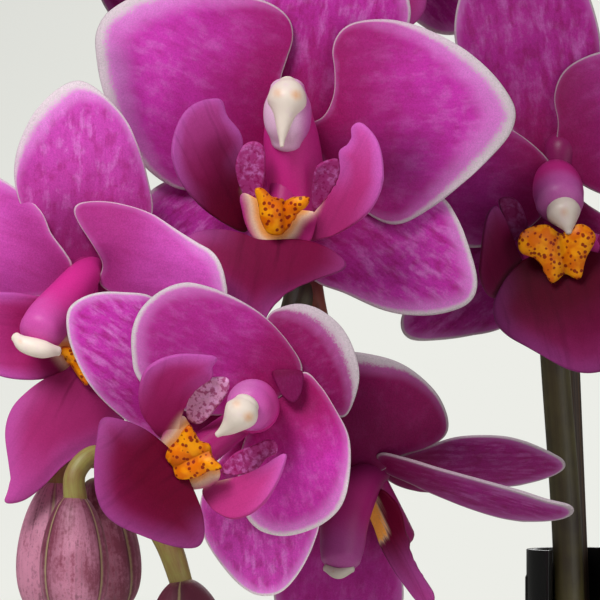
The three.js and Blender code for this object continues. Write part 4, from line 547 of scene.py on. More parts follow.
def closed_curve(points, count):
    """Evenly spaced points on a smooth closed curve through the corner points."""
    corners = np.array(points, float)
    ends = [np.roll(corners, shift, axis=0)[:, None, :] for shift in (1, 0, -1, -2)]
    t = np.linspace(0, 1, CURVE_STEPS, endpoint=False)[None, :, None]
    fine = through(*ends, t).reshape(-1, corners.shape[1])
    return spaced(np.vstack([fine, fine[:1]]), count + 1)[:-1]


def open_curve(points, count):
    """Points on a smooth open curve through path points; the last number of each is its radius."""
    path = np.array(points, float)
    path = np.vstack([2 * path[0] - path[1], path, 2 * path[-1] - path[-2]])
    path[[0, -1], -1] = path[[1, -2], -1]
    at = np.linspace(0, len(points) - 1, count)
    i = np.minimum(at.astype(int), len(points) - 2)
    return through(path[i], path[i + 1], path[i + 2], path[i + 3], (at - i)[:, None])


def length_along(path):
    """How far along the path each of its points lies."""
    return np.concatenate([[0], np.cumsum(np.linalg.norm(np.diff(path, axis=0), axis=1))])


def at_lengths(path, lengths):
    """The points of the path that lie at these lengths along it."""
    run = length_along(path)
    return np.stack([np.interp(lengths, run, column) for column in path.T], axis=1)


def spaced(path, count):
    """The same path at even steps of length."""
    return at_lengths(path, np.linspace(0, length_along(path)[-1], count))


def to_segment(points, a, b):
    """Distance of each point from the line between a and b."""
    a = np.array(a, float)
    along = np.array(b, float) - a
    t = np.clip(((points - a) @ along) / (along @ along), 0, 1)
    return np.linalg.norm(points - a - t[..., None] * along, axis=-1)


def to_outline(points, outline):
    """Distance of each point from a closed outline."""
    following = np.roll(outline, -1, axis=0)
    return np.min([to_segment(points, a, b) for a, b in zip(outline, following)], axis=0)


def near_line(points, x1, z1, x2, z2, reach):
    """1 on the line between two ends, with a smooth fall towards 0 beside it."""
    return np.exp(-((to_segment(points, (x1, z1), (x2, z2)) / reach) ** 2))


def fade(value, low, high):
    """0 below low, 1 above high and a smooth rise between."""
    t = np.clip((value - low) / (high - low), 0, 1)
    return t * t * (3 - 2 * t)


def ripple(flat, scale, seed):
    """Smooth noise at each point of a plane, between about -1 and 1."""
    offset = Vector((seed * 7.13, seed * 3.7, seed * 1.9))
    return np.array([smooth_noise(Vector((x, y, 0)) * scale + offset) for x, y in flat])


def nearest(share, count):
    """Which of count evenly spaced rows is nearest to each share, from 0 to 1."""
    return np.round(share * (count - 1)).astype(int)


def turn_points(points, about_x, about_y, about_z):
    """The points turned about x, then y, then z, by angles in radians."""
    for angle, (a, b) in ((about_x, (1, 2)), (about_y, (2, 0)), (about_z, (0, 1))):
        first = points[:, a] * math.cos(angle) - points[:, b] * math.sin(angle)
        second = points[:, a] * math.sin(angle) + points[:, b] * math.cos(angle)
        points = points.copy()
        points[:, a] = first
        points[:, b] = second
    return points


# Pieces


def grid_piece(name, across, along):
    """A flat square grid to be shaped, and its u and v at each vertex, from 0 to 1."""
    bpy.ops.mesh.primitive_grid_add(x_subdivisions=across - 1, y_subdivisions=along - 1, size=2)
    piece = bpy.context.object
    piece.name = name
    u, v, _ = (read_points(piece).T + 1) / 2
    return piece, u, v


def read_points(piece):
    """Where the vertices are, in the units that the piece is in."""
    flat = np.empty(len(piece.data.vertices) * 3)
    piece.data.vertices.foreach_get("co", flat)
    return flat.reshape(-1, 3)


def write_points(piece, points):
    """Moves the vertices to these points, which are in millimetres."""
    piece.data.vertices.foreach_set("co", np.ascontiguousarray(points * MM, dtype=float).ravel())
    piece.data.update()


def write_attributes(piece, **values):
    """Adds an attribute for each name, with one value for the whole piece or one for each vertex."""
    for name, value in values.items():
        attribute = piece.data.attributes.new(name, "FLOAT", "POINT")
        attribute.data.foreach_set("value", np.full(len(piece.data.vertices), value, dtype=np.float32))


def only(piece):
    """Selects this piece alone and makes it active."""
    bpy.ops.object.select_all(action="DESELECT")
    piece.select_set(True)
    bpy.context.view_layer.objects.active = piece


def close_up(piece):
    """Merges doubled vertices and points every face outwards."""
    only(piece)
    bpy.ops.object.mode_set(mode="EDIT")
    bpy.ops.mesh.select_all(action="SELECT")
    bpy.ops.mesh.remove_doubles(threshold=MERGE_GAP * MM)
    bpy.ops.mesh.normals_make_consistent(inside=False)
    bpy.ops.object.mode_set(mode="OBJECT")


def add_modifier(piece, kind, **settings):
    """Adds a modifier and applies it."""
    only(piece)
    modifier = piece.modifiers.new(kind.lower(), kind)
    for key, value in settings.items():
        setattr(modifier, key, value)
    bpy.ops.object.modifier_apply(modifier=modifier.name)


def join(name, pieces):
    """Joins the pieces into the first one, under this name."""
    only(pieces[0])
    for piece in pieces:
        piece.select_set(True)
    if len(pieces) > 1:
        bpy.ops.object.join()
    whole = bpy.context.object
    whole.name = name
    whole.data.name = name
    return whole


def dress(piece, node, material):
    """Finishes a piece: smooth faces, one material, and the CAD node that it stands for."""
    only(piece)
    bpy.ops.object.shade_smooth()
    piece.data.materials.clear()
    piece.data.materials.append(material)
    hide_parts(node)
    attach(piece, "root")


def dome(end, way, reach, turn):
    """One ring of a rounded end, as a row of its centre and radius. A turn of 0 is at the tip."""
    return np.append(end[:3] + way * end[3] * reach * math.cos(turn), end[3] * math.sin(turn))


def tube(name, path, around, steps, reach=0.62):
    """A closed round limb along a path. reach is how far its ends bulge, as a share of their radius."""
    line = open_curve(path, steps)
    tangent = np.gradient(line[:, :3], axis=0)
    tangent /= np.linalg.norm(tangent, axis=1)[:, None]
    turns = np.linspace(0, math.pi / 2, DOME_RINGS, endpoint=False)
    first = [dome(line[0], -tangent[0], reach, turn) for turn in turns]
    last = [dome(line[-1], tangent[-1], reach, turn) for turn in turns[::-1]]
    rows = np.vstack([first, line, last])
    ways = np.pad(tangent, ((DOME_RINGS, DOME_RINGS), (0, 0)), mode="edge")
    side = FIRST_SIDE
    sides = []
    for way in ways:
        side = side - way * (side @ way)
        side = side / np.linalg.norm(side)
        sides.append(side)
    sides = np.array(sides)
    overs = np.cross(sides, ways)
    piece, u, v = grid_piece(name, around, len(rows))
    row = nearest(v, len(rows))
    right = np.cos(u * FULL_TURN)[:, None] * sides[row]
    up = np.sin(u * FULL_TURN)[:, None] * overs[row]
    write_points(piece, rows[row, :3] + rows[row, 3:] * (right + up))
    write_attributes(piece, along=v, angle=u)
    close_up(piece)
    return piece


def lathe(name, profile, around, steps):
    """A closed solid turned about the upright axis from a profile of radius and height."""
    profile = np.array(profile, float)
    corners = length_along(profile)
    even = np.linspace(0, corners[-1], steps)
    line = at_lengths(profile, np.unique(np.concatenate([even, corners])))
    piece, u, v = grid_piece(name, around, len(line))
    radius, height = line[nearest(v, len(line))].T
    angle = u * FULL_TURN
    write_points(piece, np.stack([radius * np.cos(angle), radius * np.sin(angle), height], axis=1))
    close_up(piece)
    return piece


# Blades of the flowers


def kind_of(blade_name):
    """How a blade is made, by the start of its name."""
    start = next(start for start in BLADE_KINDS if blade_name.startswith(start))
    return {**PLAIN_BLADE, **BLADE_KINDS[start]}


def turned_outline(blade, count):
    """The blade's outline, anticlockwise, starting an eighth of the way round before its foot."""
    outline = closed_curve(blade.edge, count)
    x, z = outline.T
    if (x * np.roll(z, -1) - np.roll(x, -1) * z).sum() < 0:
        outline = outline[::-1]
    foot = np.linalg.norm(outline - np.array(blade.base), axis=1).argmin()
    return np.roll(outline, count // 8 - foot, axis=0)


def spread(outline, count):
    """A square grid eased out to fill the outline, row by row. The outline starts at its corner."""
    span = np.linspace(-1, 1, count)
    u, v = np.meshgrid(span, span)
    x = u * np.sqrt(1 - v * v / 2)
    y = v * np.sqrt(1 - u * u / 2)
    turn = (np.arctan2(y, x) - math.atan2(-1, -1)) % FULL_TURN / FULL_TURN
    looped = np.vstack([outline, outline[:1]])
    at = np.linspace(0, 1, len(looped))
    rim = np.stack([np.interp(turn, at, column) for column in looped.T], axis=-1)
    middle = outline.mean(axis=0)
    grid = middle + np.hypot(x, y)[..., None] * (rim - middle)
    last = count - 1
    foot, right, end, left = outline.reshape(4, last, 2)
    grid[0, :last] = foot
    grid[:last, last] = right
    grid[last, :0:-1] = end
    grid[:0:-1, 0] = left
    for _ in range(RELAX_STEPS):
        grid[1:-1, 1:-1] = 0.25 * (grid[2:, 1:-1] + grid[:-2, 1:-1] + grid[1:-1, 2:] + grid[1:-1, :-2])
    return grid.reshape(-1, 2)


def lay_blade(blade, fine):
    """Points that fill a blade's outline, and for each its depth, how far along the midline and across
    it the point lies, and its distance from the rim.
    """
    outline = turned_outline(blade, 4 * (fine - 1))
    flat = spread(outline, fine)
    base = np.array(blade.base, float)
    way = np.array(blade.tip, float) - base
    length = np.linalg.norm(way)
    way /= length
    over = np.array([-way[1], way[0]])
    half = np.abs((np.array(blade.edge, float) - base) @ over).max()
    along = (flat - base) @ way / length
    across = (flat - base) @ over / half
    start, rise, bend, lean, cup, twist = blade.form
    depth = start + rise * along + bend * along * along
    depth = depth + lean * across + cup * across * across + twist * along * across
    return flat, depth, along, across, to_outline(flat, outline)


def blade_mesh(name, bloom, flat, depth, thickness, **shares):
    """A blade with real thickness. shares are its attributes, one for the blade or one for each point."""
    fine = math.isqrt(len(flat))
    piece, u, v = grid_piece(name, fine, fine)
    order = nearest(v, fine) * fine + nearest(u, fine)
    points = np.stack([flat[:, 0], depth, flat[:, 1]], axis=1)
    write_points(piece, place_bloom(bloom, points[order]))
    values = {key: np.broadcast_to(share, len(flat))[order] for key, share in shares.items()}
    write_attributes(piece, **values)
    add_modifier(piece, "SOLIDIFY", thickness=thickness * MM, offset=0)
    add_modifier(piece, "SUBSURF", levels=1, render_levels=1)
    close_up(piece)
    return piece


def blade_piece(bloom_name, blade_name):
    """One petal, sepal or lobe of a lip, with what its finish needs as attributes."""
    bloom = BLOOMS[bloom_name]
    blade = bloom["blades"][blade_name]
    kind = kind_of(blade_name)
    flat, depth, along, across, rim = lay_blade(blade, kind.get("fine", bloom["fine"]))
    inner = fade(along, 0.1, 0.6)
    seed = sum(map(ord, bloom_name + blade_name)) % 97
    depth = depth + kind["wave"] * inner * ripple(flat, BROAD_WAVES, seed)
    depth = depth + kind["wave"] * FINE_SHARE * inner * ripple(flat, FINE_WAVES, seed + 5)
    depth = depth + kind["curl"] * (1 - fade(rim, 0, kind["curl_width"])) * inner
    # The blade's painted light and shade: the bloom's factor times the blade's own, with painted shade along
    # each crease
    light, deep = bloom["shade"].get(blade_name, [1, bloom["deep"]])
    tone = bloom["tone"] * light
    for *line, dip, dark in CREASES.get((bloom_name, blade_name), []):
        near = near_line(flat, *line)
        depth = depth + dip * near
        tone = tone - dark * near
    pale = bloom["pale"] * kind["pale"]
    for *line, more in PALE_EDGES.get((bloom_name, blade_name), []):
        pale = pale + more * near_line(flat, *line)
    return blade_mesh(blade_name, bloom, flat, depth, kind["thick"],
                      rim=rim + kind["inset"], along=along, across=across, tone=tone,
                      cream=cream_share(bloom, blade_name, flat),
                      away=np.linalg.norm(flat - np.array(blade.base, float), axis=1),
                      pale=pale, wine=bloom["wine"].get(blade_name, kind["wine"]),
                      fleck=kind["fleck"], deep=deep, groove=kind["groove"])


def cream_share(bloom, blade_name, flat):
    """How cream the lip is at each point: most beside the callus, on the side lobes and the cup."""
    if blade_name == "lip":
        return LINE_STRENGTH * near_line(flat, *bloom["cream"], LINE_REACH)
    if "cream" in bloom or "callus" not in bloom["blades"] or not blade_name.startswith(("side", "cup")):
        return 0
    edge = closed_curve(bloom["blades"]["callus"].edge, CREAM_STEPS)
    return np.exp(-((to_outline(flat, edge) / CREAM_REACH) ** 2))


def place_bloom(bloom, points):
    """The points of a bloom where they stand in the pot."""
    return turn_points(points, 0, math.radians(bloom["roll"]), 0) + np.array(bloom["at"])


def place_path(bloom, path):
    """A path of a bloom where it stands in the pot."""
    path = np.array(path, float)
    return np.column_stack([place_bloom(bloom, path[:, :3]), path[:, 3]])


def throat_of(bloom):
    """The point behind the callus, or behind a lip that hides it, where the lip is carried."""
    blades = bloom["blades"]
    pad = blades["callus"] if "callus" in blades else blades["lip"]
    x = pad.base[0] + 0.4 * (pad.tip[0] - pad.base[0])
    z = pad.base[1] + 0.4 * (pad.tip[1] - pad.base[1])
    return [x, pad.form[0] + 4.6, z]


# Colours and shader maths


def tint(red, green, blue):
    """A display colour, each part from 0 to 255, as the linear colour that a shader takes."""
    parts = (c / 255 for c in (red, green, blue))
    return tuple(c / 12.92 if c <= 0.04045 else ((c + 0.055) / 1.055) ** 2.4 for c in parts)


class Value:
    """A shader output that Python's operators add Math nodes to."""

    def __init__(self, finish, socket):
        self.finish = finish
        self.socket = socket

    def __add__(self, other):
        return self.finish.math("ADD", self, other)

    def __radd__(self, other):
        return self.finish.math("ADD", other, self)

    def __sub__(self, other):
        return self.finish.math("SUBTRACT", self, other)

    def __rsub__(self, other):
        return self.finish.math("SUBTRACT", other, self)

    def __mul__(self, other):
        return self.finish.math("MULTIPLY", self, other)

    def __rmul__(self, other):
        return self.finish.math("MULTIPLY", other, self)

    def __truediv__(self, other):
        return self.finish.math("DIVIDE", self, other)

    def __rtruediv__(self, other):
        return self.finish.math("DIVIDE", other, self)


class Finish:
    """The nodes of one material, or of the backdrop, built on its shader."""

    def __init__(self, owner, shader="Principled BSDF", **constants):
        owner.use_nodes = True
        self.owner = owner
        self.nodes = owner.node_tree.nodes
        self.links = owner.node_tree.links
        self.shader = self.nodes[shader]
        for key, value in constants.items():
            self.shader.inputs[key.replace("_", " ")].default_value = value

    def node(self, kind, settings, values, output=0):
        """Any node: its settings first, then a value or a link for each socket, by name or number."""
        node = self.nodes.new(kind)
        for key, value in settings.items():
            setattr(node, key, value)
        for key, value in values.items():
            socket = node.inputs[key]
            if isinstance(value, Value):
                self.links.new(value.socket, socket)
            elif socket.type == "RGBA":
                socket.default_value = (*value, 1)
            else:
                socket.default_value = value
        return Value(self, node.outputs[output])

    def math(self, operation, *values):
        return self.node("ShaderNodeMath", {"operation": operation}, dict(enumerate(values)))

    def larger(self, first, second):
        return self.math("MAXIMUM", first, second)

    def smaller(self, first, second):
        return self.math("MINIMUM", first, second)

    def step(self, value, low, high):
        """0 below low and 1 above high, with a smooth rise."""
        return self.node("ShaderNodeMapRange", {"interpolation_type": "SMOOTHSTEP"},
                         {"Value": value, "From Min": low, "From Max": high})

    def mix(self, share, first, second):
        """A colour that goes from first to second as share rises."""
        return self.node("ShaderNodeMix", {"data_type": "RGBA"}, {0: share, 6: first, 7: second}, 2)

    def dim(self, colour, tone):
        """The colour with each of its parts multiplied by the painted light and shade."""
        return self.node("ShaderNodeMix", {"data_type": "RGBA", "blend_type": "MULTIPLY"},
                         {0: 1.0, 6: colour, 7: self.vector(tone, tone, tone)}, 2)

    def read(self, name):
        """An attribute of the piece."""
        return self.node("ShaderNodeAttribute", {"attribute_name": name}, {}, 2)

    def place(self):
        """Where a point of the piece is, in metres."""
        return self.node("ShaderNodeTexCoord", {}, {}, "Object")

    def vector(self, x, y, z):
        return self.node("ShaderNodeCombineXYZ", {}, {0: x, 1: y, 2: z})

    def noise(self, where, scale, detail=3.0, rough=0.55):
        return self.node("ShaderNodeTexNoise", {},
                         {"Vector": where, "Scale": scale, "Detail": detail, "Roughness": rough})

    def cells(self, where, scale):
        """Distance from the nearest of many scattered points."""
        return self.node("ShaderNodeTexVoronoi", {}, {"Vector": where, "Scale": scale, "Randomness": 0.85})

    def feed(self, **outputs):
        """Links outputs to the shader's sockets of those names."""
        for key, value in outputs.items():
            self.links.new(value.socket, self.shader.inputs[key.replace("_", " ")])

    def paint(self, colour, roughness, height, strength, distance):
        """Links what varies over a surface: colour, roughness and a bump from a height."""
        bump = self.node("ShaderNodeBump", {}, {"Strength": strength, "Distance": distance, "Height": height})
        self.feed(Base_Color=colour, Roughness=roughness, Normal=bump)
        return self.owner


def new_finish(name, **constants):
    """A new material, with these constants on its shader."""
    return Finish(bpy.data.materials.new(name), **constants)


def tepal_finish(name, look, veins, dapples):
    """Petal or sepal: velvety, wine-dark at its foot with painted shade, veined, with a grainy pale margin at
    its end.
    """
    skin = new_finish(name, Specular_IOR_Level=0.1)
    rim, along, across, deep, pale = map(skin.read, ("rim", "along", "across", "deep", "pale"))
    place = skin.place()
    soft = skin.noise(place, 150, 3)
    mottle = skin.noise(place, 650, 4, 0.6)
    grain = skin.noise(place, 4200, 2, 0.8)
    drift = across + (soft - 0.5) * 0.1
    streaks = skin.noise(skin.vector(drift * 5.0, along * 1.5, 0.0), 1.0, 2, 0.5)
    flecks = skin.noise(skin.vector(drift * 9.0, along * 7.0, 3.0), 1.0, 3, 0.6)
    fine = skin.noise(skin.vector(drift * 36.0, along * 4.0, 0.0), 1.0, 2)
    # Darker, redder foot near the column: partly the petal's own wine colour, partly painted shade towards
    # the throat
    foot = 1 - skin.step(along + (soft - 0.5) * 0.3, 0.02, 0.8)
    foot = skin.larger(foot * (1 + skin.smaller(deep, 0.0)), deep)
    colour = skin.mix(foot, look.petal_colour, look.foot_colour)
    bright = skin.step(flecks + (mottle - 0.5) * 0.7, 0.42, 0.76) * dapples * (1.1 - foot)
    # Below 0, deep lightens the blade towards lilac; on bloom_b this partly stands in for a painted sheen
    bright = skin.larger(bright, deep * (foot * 0.8 - 0.8))
    colour = skin.mix(bright, colour, look.lilac_colour)
    colour = skin.mix(skin.step(streaks, 0.4, 0.78) * veins, colour, look.vein_colour)
    thread = skin.step(fine + (grain - 0.5) * 0.4, 0.42, 0.8)
    colour = skin.mix(thread * 0.12, colour, look.vein_colour)
    dapple = skin.step((mottle - 0.5) * 0.8 - flecks + 1.0, 0.46, 0.76) * (1 + skin.smaller(deep, 0.0))
    colour = skin.mix(dapple * dapples * 0.9, colour, look.foot_colour)
    end = skin.step(along, 0.15, 0.95)
    wide = end * pale
    inside = rim - (0.12 + wide * look.margin_width)
    fringe = (inside + (soft - 0.5) * pale * 2.4 + (grain - 0.5) * 1.2) / (wide * 3.2 + 0.8)
    fringe = (1 - skin.step(fringe, 0.0, 1.0)) * (1 - skin.larger(deep, 0.0) * 0.6)
    colour = skin.mix(fringe * (0.2 + end * 0.65), colour, look.lilac_colour)
    ragged = inside + ((grain - 0.5) * 2.0 + (mottle - 0.5) * 0.8) * wide
    margin = 1 - skin.step(ragged / (wide * 0.4 + 0.14), -1.0, 1.0)
    colour = skin.mix(margin * (0.65 + end * 0.35), colour, look.margin_colour)
    # Painted light and shade of the blade, varied by its grain
    tone = skin.read("tone") * (0.6 + grain * 0.8)
    colour = skin.dim(colour, tone)
    return skin.paint(colour, 0.5 + mottle * 0.14, grain * 0.5 + streaks * 0.4 + mottle * 0.3,
                      strength=0.3, distance=0.0002)


def lip_finish(look):
    """Lobes of the lip: wine-dark at the throat, purple towards the rim, cream beside the callus."""
    skin = new_finish("lip flesh", Specular_IOR_Level=0.06)
    rim, away, along, across = map(skin.read, ("rim", "away", "along", "across"))
    wine, cream, fleck, groove, deep = map(skin.read, ("wine", "cream", "fleck", "groove", "deep"))
    place = skin.place()
    soft = skin.noise(place, 200, 3)
    mottle = skin.noise(place, 800, 3, 0.6)
    specks = skin.noise(place, 1550, 2, 0.5)
    grain = skin.noise(place, 4200, 2, 0.8)
    reach = away + (soft - 0.5) * 4.0 - groove * 3.5
    dark = wine * (1 - skin.step(reach, 2.0, 20.0))
    rays = skin.noise(skin.vector(across * 7.0 + soft * 0.8, along * 0.7, 0.0), 1.0, 3, 0.6)
    colour = skin.mix(dark, look.lobe_colour, look.wine_colour)
    inside = (rim + (soft - 0.5) * 1.6) / (groove * 1.2 + 2.6)
    purple = (1 - skin.step(inside, 0.0, 1.0)) * skin.step(away, 5.0, 13.0)
    far = skin.step(reach, 8.0, 20.0) * 0.5
    colour = skin.mix(skin.larger(purple * (0.72 - groove * 0.27), far), colour, look.lobe_rim_colour)
    colour = skin.mix(skin.step(rays, 0.48, 0.75) * wine * 0.3, colour, look.groove_colour)
    colour = skin.mix(deep * -0.7, colour, look.lilac_colour)
    off = skin.math("ABSOLUTE", across + (soft - 0.5) * 0.12)
    line = (1 - skin.step(off, 0.005, 0.04)) * (1 - skin.step(along, 0.15, 0.5)) * groove
    colour = skin.mix(line * 0.35, colour, look.groove_colour)
    spots = skin.step(specks + (mottle - 0.5) * 0.3, 0.48, 0.62)
    flecked = skin.mix(skin.step(mottle, 0.42, 0.7) * 0.7, look.fleck_colour, look.lilac_colour)
    flecked = skin.mix(deep * -1.0, flecked, look.column_colour)
    flecked = skin.mix(spots * 0.75, flecked, look.foot_colour)
    flecked = skin.mix(deep, flecked, look.vein_colour)
    colour = skin.mix(fleck, colour, flecked)
    cream = cream * (1 + (rays - 0.5) * groove * 3.5) + (soft - 0.5) * 0.25
    colour = skin.mix(skin.step(cream, 0.1, 0.8) * 0.92, colour, look.cream_colour)
    colour = skin.mix(skin.step(cream + groove * 0.3, 0.6, 1.05) * 0.85, colour, look.callus_light)
    # Painted light and shade of the lobe, varied by its grain
    tone = skin.read("tone") * (0.8 + grain * 0.4)
    colour = skin.dim(colour, tone)
    return skin.paint(colour, 0.42 + mottle * 0.15, grain * 0.5 + mottle * 0.4,
                      strength=0.25, distance=0.0002)


def column_finish(look):
    """Column: magenta from the throat, with a clear lilac hood round the cap."""
    skin = new_finish("column flesh", Specular_IOR_Level=0.2)
    hood, tone = skin.read("hood"), skin.read("tone")
    place = skin.place()
    soft = skin.noise(place, 300, 3)
    grain = skin.noise(place, 4600, 2)
    veil = hood + (soft - 0.5) * 0.2
    colour = skin.mix(skin.step(veil, 0.0, 0.5), look.column_foot_colour, look.column_middle)
    colour = skin.mix(skin.step(veil, 0.4, 0.95), colour, look.column_colour)
    # Painted light and shade of the column, varied by its grain
    tone = tone * (0.86 + grain * 0.28)
    colour = skin.dim(colour, tone)
    return skin.paint(colour, 0.34 + soft * 0.12, grain,
                      strength=0.12, distance=0.0002)


def anther_finish(look):
    """Anther cap: ivory, with a peach blotch over each pollen sac."""
    skin = new_finish("anther cap", Specular_IOR_Level=0.35)
    place = skin.place()
    soft = skin.noise(place, 500, 2)
    grain = skin.noise(place, 3000, 2)
    blush = skin.step(skin.read("blush") + (soft - 0.5) * 0.4, 0.1, 1.1)
    colour = skin.mix(skin.step(soft, 0.5, 0.75) * 0.3, look.cap_colour, look.column_colour)
    colour = skin.mix(blush * 0.85, colour, look.blush_colour)
    # The bloom's painted light and shade
    colour = skin.dim(colour, skin.read("tone"))
    return skin.paint(colour, 0.34 + grain * 0.1, grain,
                      strength=0.12, distance=0.0002)


def callus_finish(look):
    """Callus: waxy orange with small maroon dots."""
    skin = new_finish("callus wax", Specular_IOR_Level=0.15)
    place = skin.place()
    jitter = skin.noise(place, 1300, 2)
    dots = 1 - skin.step(skin.cells(place, 1300) + (jitter - 0.5) * 0.4, 0.27, 0.41)
    soft = skin.noise(place, 420, 2)
    colour = skin.mix(skin.step(soft, 0.4, 0.62), look.callus_colour, look.callus_light)
    colour = skin.mix(dots * 0.92, colour, look.dot_colour)
    # Painted light and shade: the bloom's, and darker in the callus's middle fold and towards its rim
    colour = skin.dim(colour, skin.read("tone"))
    return skin.paint(colour, 0.36 + soft * 0.1, soft + jitter * 0.3,
                      strength=0.2, distance=0.0003)


def bud_finish(look):
    """Bud: dusky plum with a greenish seam down each join of the folded sepals."""
    skin = new_finish("bud skin", Roughness=0.6)
    seam, along, angle = map(skin.read, ("seam", "along", "angle"))
    dusk, ridge = map(skin.read, ("dusk", "ridge"))
    place = skin.place()
    soft = skin.noise(place, 160, 2)
    mottle = skin.noise(place, 1500, 4, 0.7)
    streak = skin.noise(skin.vector(angle * 40.0, along * 1.4, soft), 1.0, 3)
    # Lighter patches: partly the bud's dusty bloom, partly a painted sheen
    dust_and_sheen = skin.step(soft + (streak - 0.5) * 0.9 + (mottle - 0.5) * 0.9 - dusk * 0.3, 0.3, 0.8)
    colour = skin.mix(dust_and_sheen, look.bud_colour, look.bud_light)
    # Painted shade: darker at the top, towards the stalk, and in the hollows along the seams, less on a
    # lighter bud
    painted_shade = (1 - skin.step(along + (streak - 0.5) * 0.3, 0.1, 0.5)) * 0.55 + (1 - ridge) * 0.5
    painted_shade = painted_shade * (1 + skin.smaller(dusk, 0.0))
    # Darker flecks and how dark the bud is, then the painted shade over them
    dark = skin.larger(skin.step(streak + (mottle - 0.5) * 0.8, 0.48, 0.78) * 0.65, dusk)
    dark = skin.larger(dark, painted_shade)
    colour = skin.mix(dark, colour, look.bud_dark)
    green = skin.step(seam + (mottle - 0.5) * 0.5, 0.35, 0.85)
    green = skin.larger(green, (1 - skin.step(along + (mottle - 0.5) * 0.2, 0.04, 0.16)) * 0.8)
    colour = skin.mix(green * 0.8, colour, look.seam_colour)
    beside = skin.step(seam, 0.01, 0.3) * (1 - green) * 0.5
    colour = skin.mix(beside, colour, look.bud_dark)
    return skin.paint(colour, 0.5 + mottle * 0.15, streak * 0.6 + mottle * 0.5,
                      strength=0.3, distance=0.0003)


def stalk_finish(name, light, dark, scale=420):
    """Green stalks and the spike: olive with a darker, redder flush in streaks and pores."""
    skin = new_finish(name, Roughness=0.5)
    along, angle = skin.read("along"), skin.read("angle")
    place = skin.place()
    soft = skin.noise(place, scale * 0.3, 3)
    pores = skin.noise(place, scale * 5, 3, 0.6)
    streak = skin.noise(skin.vector(angle * 24.0, along * 5.0, soft), 1.0, 3)
    colour = skin.mix(skin.step(soft + (streak - 0.5) * 0.5, 0.3, 0.78), light, dark)
    colour = skin.mix(skin.step(pores, 0.62, 0.75) * 0.3, colour, dark)
    return skin.paint(colour, 0.42 + pores * 0.15, streak * 0.5 + pores * 0.4,
                      strength=0.3, distance=0.0003)


def leaf_finish(look):
    """Leaf: waxy green with a pale midrib and fine lines, and a duller underside."""
    skin = new_finish("leaf skin", Roughness=0.38)
    across, along, under = skin.read("across"), skin.read("along"), skin.read("under")
    place = skin.place()
    soft = skin.noise(place, 34, 4)
    grain = skin.noise(place, 1500, 3)
    lines = skin.noise(skin.vector(across * 26.0, along * 1.3, 0.0), 1.0, 2)
    colour = skin.mix(skin.step(soft, 0.35, 0.68), look.leaf_colour, look.leaf_dark)
    colour = skin.mix(skin.step(lines, 0.52, 0.7) * 0.25, colour, look.leaf_light)
    rib = 1 - skin.step(skin.math("ABSOLUTE", across), 0.0, 0.05)
    colour = skin.mix(rib * 0.45, colour, look.leaf_light)
    colour = skin.mix(under * 0.55, colour, look.leaf_under)
    return skin.paint(colour, 0.3 + grain * 0.16, grain * 0.4 + lines * 0.6,
                      strength=0.25, distance=0.0004)


def root_finish(look):
    """Roots and stem: silvery, with green where they are damp."""
    skin = new_finish("root skin", Roughness=0.8)
    place = skin.place()
    soft = skin.noise(place, 120, 4)
    grain = skin.noise(place, 2200, 3)
    colour = skin.mix(skin.step(soft, 0.38, 0.62), look.root_colour, look.root_green)
    colour = skin.mix(skin.step(grain, 0.6, 0.72) * 0.4, colour, look.root_green)
    return skin.paint(colour, 0.7 + grain * 0.2, grain,
                      strength=0.35, distance=0.0004)


def bark_finish(look):
    """Bark: rough brown, each chip with a shade of its own."""
    skin = new_finish("bark chips", Roughness=0.9)
    place = skin.place()
    soft = skin.noise(place, 45, 4)
    grain = skin.noise(place, 700, 4, 0.7)
    chip = skin.read("chip")
    colour = skin.mix(skin.step(soft + (chip - 0.5) * 0.7, 0.3, 0.72), look.bark_colour, look.bark_light)
    colour = skin.mix(skin.step(grain, 0.5, 0.7) * 0.6, colour, look.bark_dark)
    return skin.paint(colour, 0.8 + grain * 0.15, grain,
                      strength=0.6, distance=0.0006)


def glaze_finish(look):
    """Pot glaze: off-white and glossy, with a faint wave and a few iron specks."""
    skin = new_finish("pot glaze", Roughness=0.22, Coat_Weight=0.35, Coat_Roughness=0.08)
    place = skin.place()
    soft = skin.noise(place, 22, 4)
    specks = 1 - skin.step(skin.cells(place, 130), 0.05, 0.1)
    colour = skin.mix(skin.step(soft, 0.35, 0.7), look.glaze_colour, look.glaze_shade)
    colour = skin.mix(specks * 0.25, colour, look.speck_colour)
    return skin.paint(colour, 0.18 + soft * 0.12, soft,
                      strength=0.12, distance=0.0008)


def plastic_finish(name, colour, rough, scratch):
    """Dark plastic, with faint scratches and a lighter bloom in places."""
    skin = new_finish(name, Roughness=rough)
    place = skin.place()
    soft = skin.noise(place, 60, 3)
    grain = skin.noise(place, 2600, 2)
    lighter = tuple(min(1, c * 1.9 + 0.006) for c in colour)
    shade = skin.mix(skin.step(soft, 0.4, 0.75), colour, lighter)
    return skin.paint(shade, rough + (soft - 0.5) * 0.16, grain,
                      strength=scratch, distance=0.00015)


def cane_finish(look):
    """Stake: dark cane with long lighter streaks."""
    skin = new_finish("stake cane", Roughness=0.55)
    along, angle = skin.read("along"), skin.read("angle")
    place = skin.place()
    streak = skin.noise(skin.vector(angle * 30.0, along * 9.0, 0.0), 1.0, 4)
    grain = skin.noise(place, 1600, 3)
    colour = skin.mix(skin.step(streak, 0.4, 0.66), look.cane_colour, look.cane_light)
    return skin.paint(colour, 0.48 + grain * 0.15, streak,
                      strength=0.3, distance=0.0003)


# Sizes and colours that a user would change


def colour_property(name, description, red, green, blue):
    """A colour that a user can change, with its display colour to start from."""
    return bpy.props.FloatVectorProperty(name=name, description=description, subtype="COLOR", size=3,
                                         min=0, max=1, default=tint(red, green, blue))


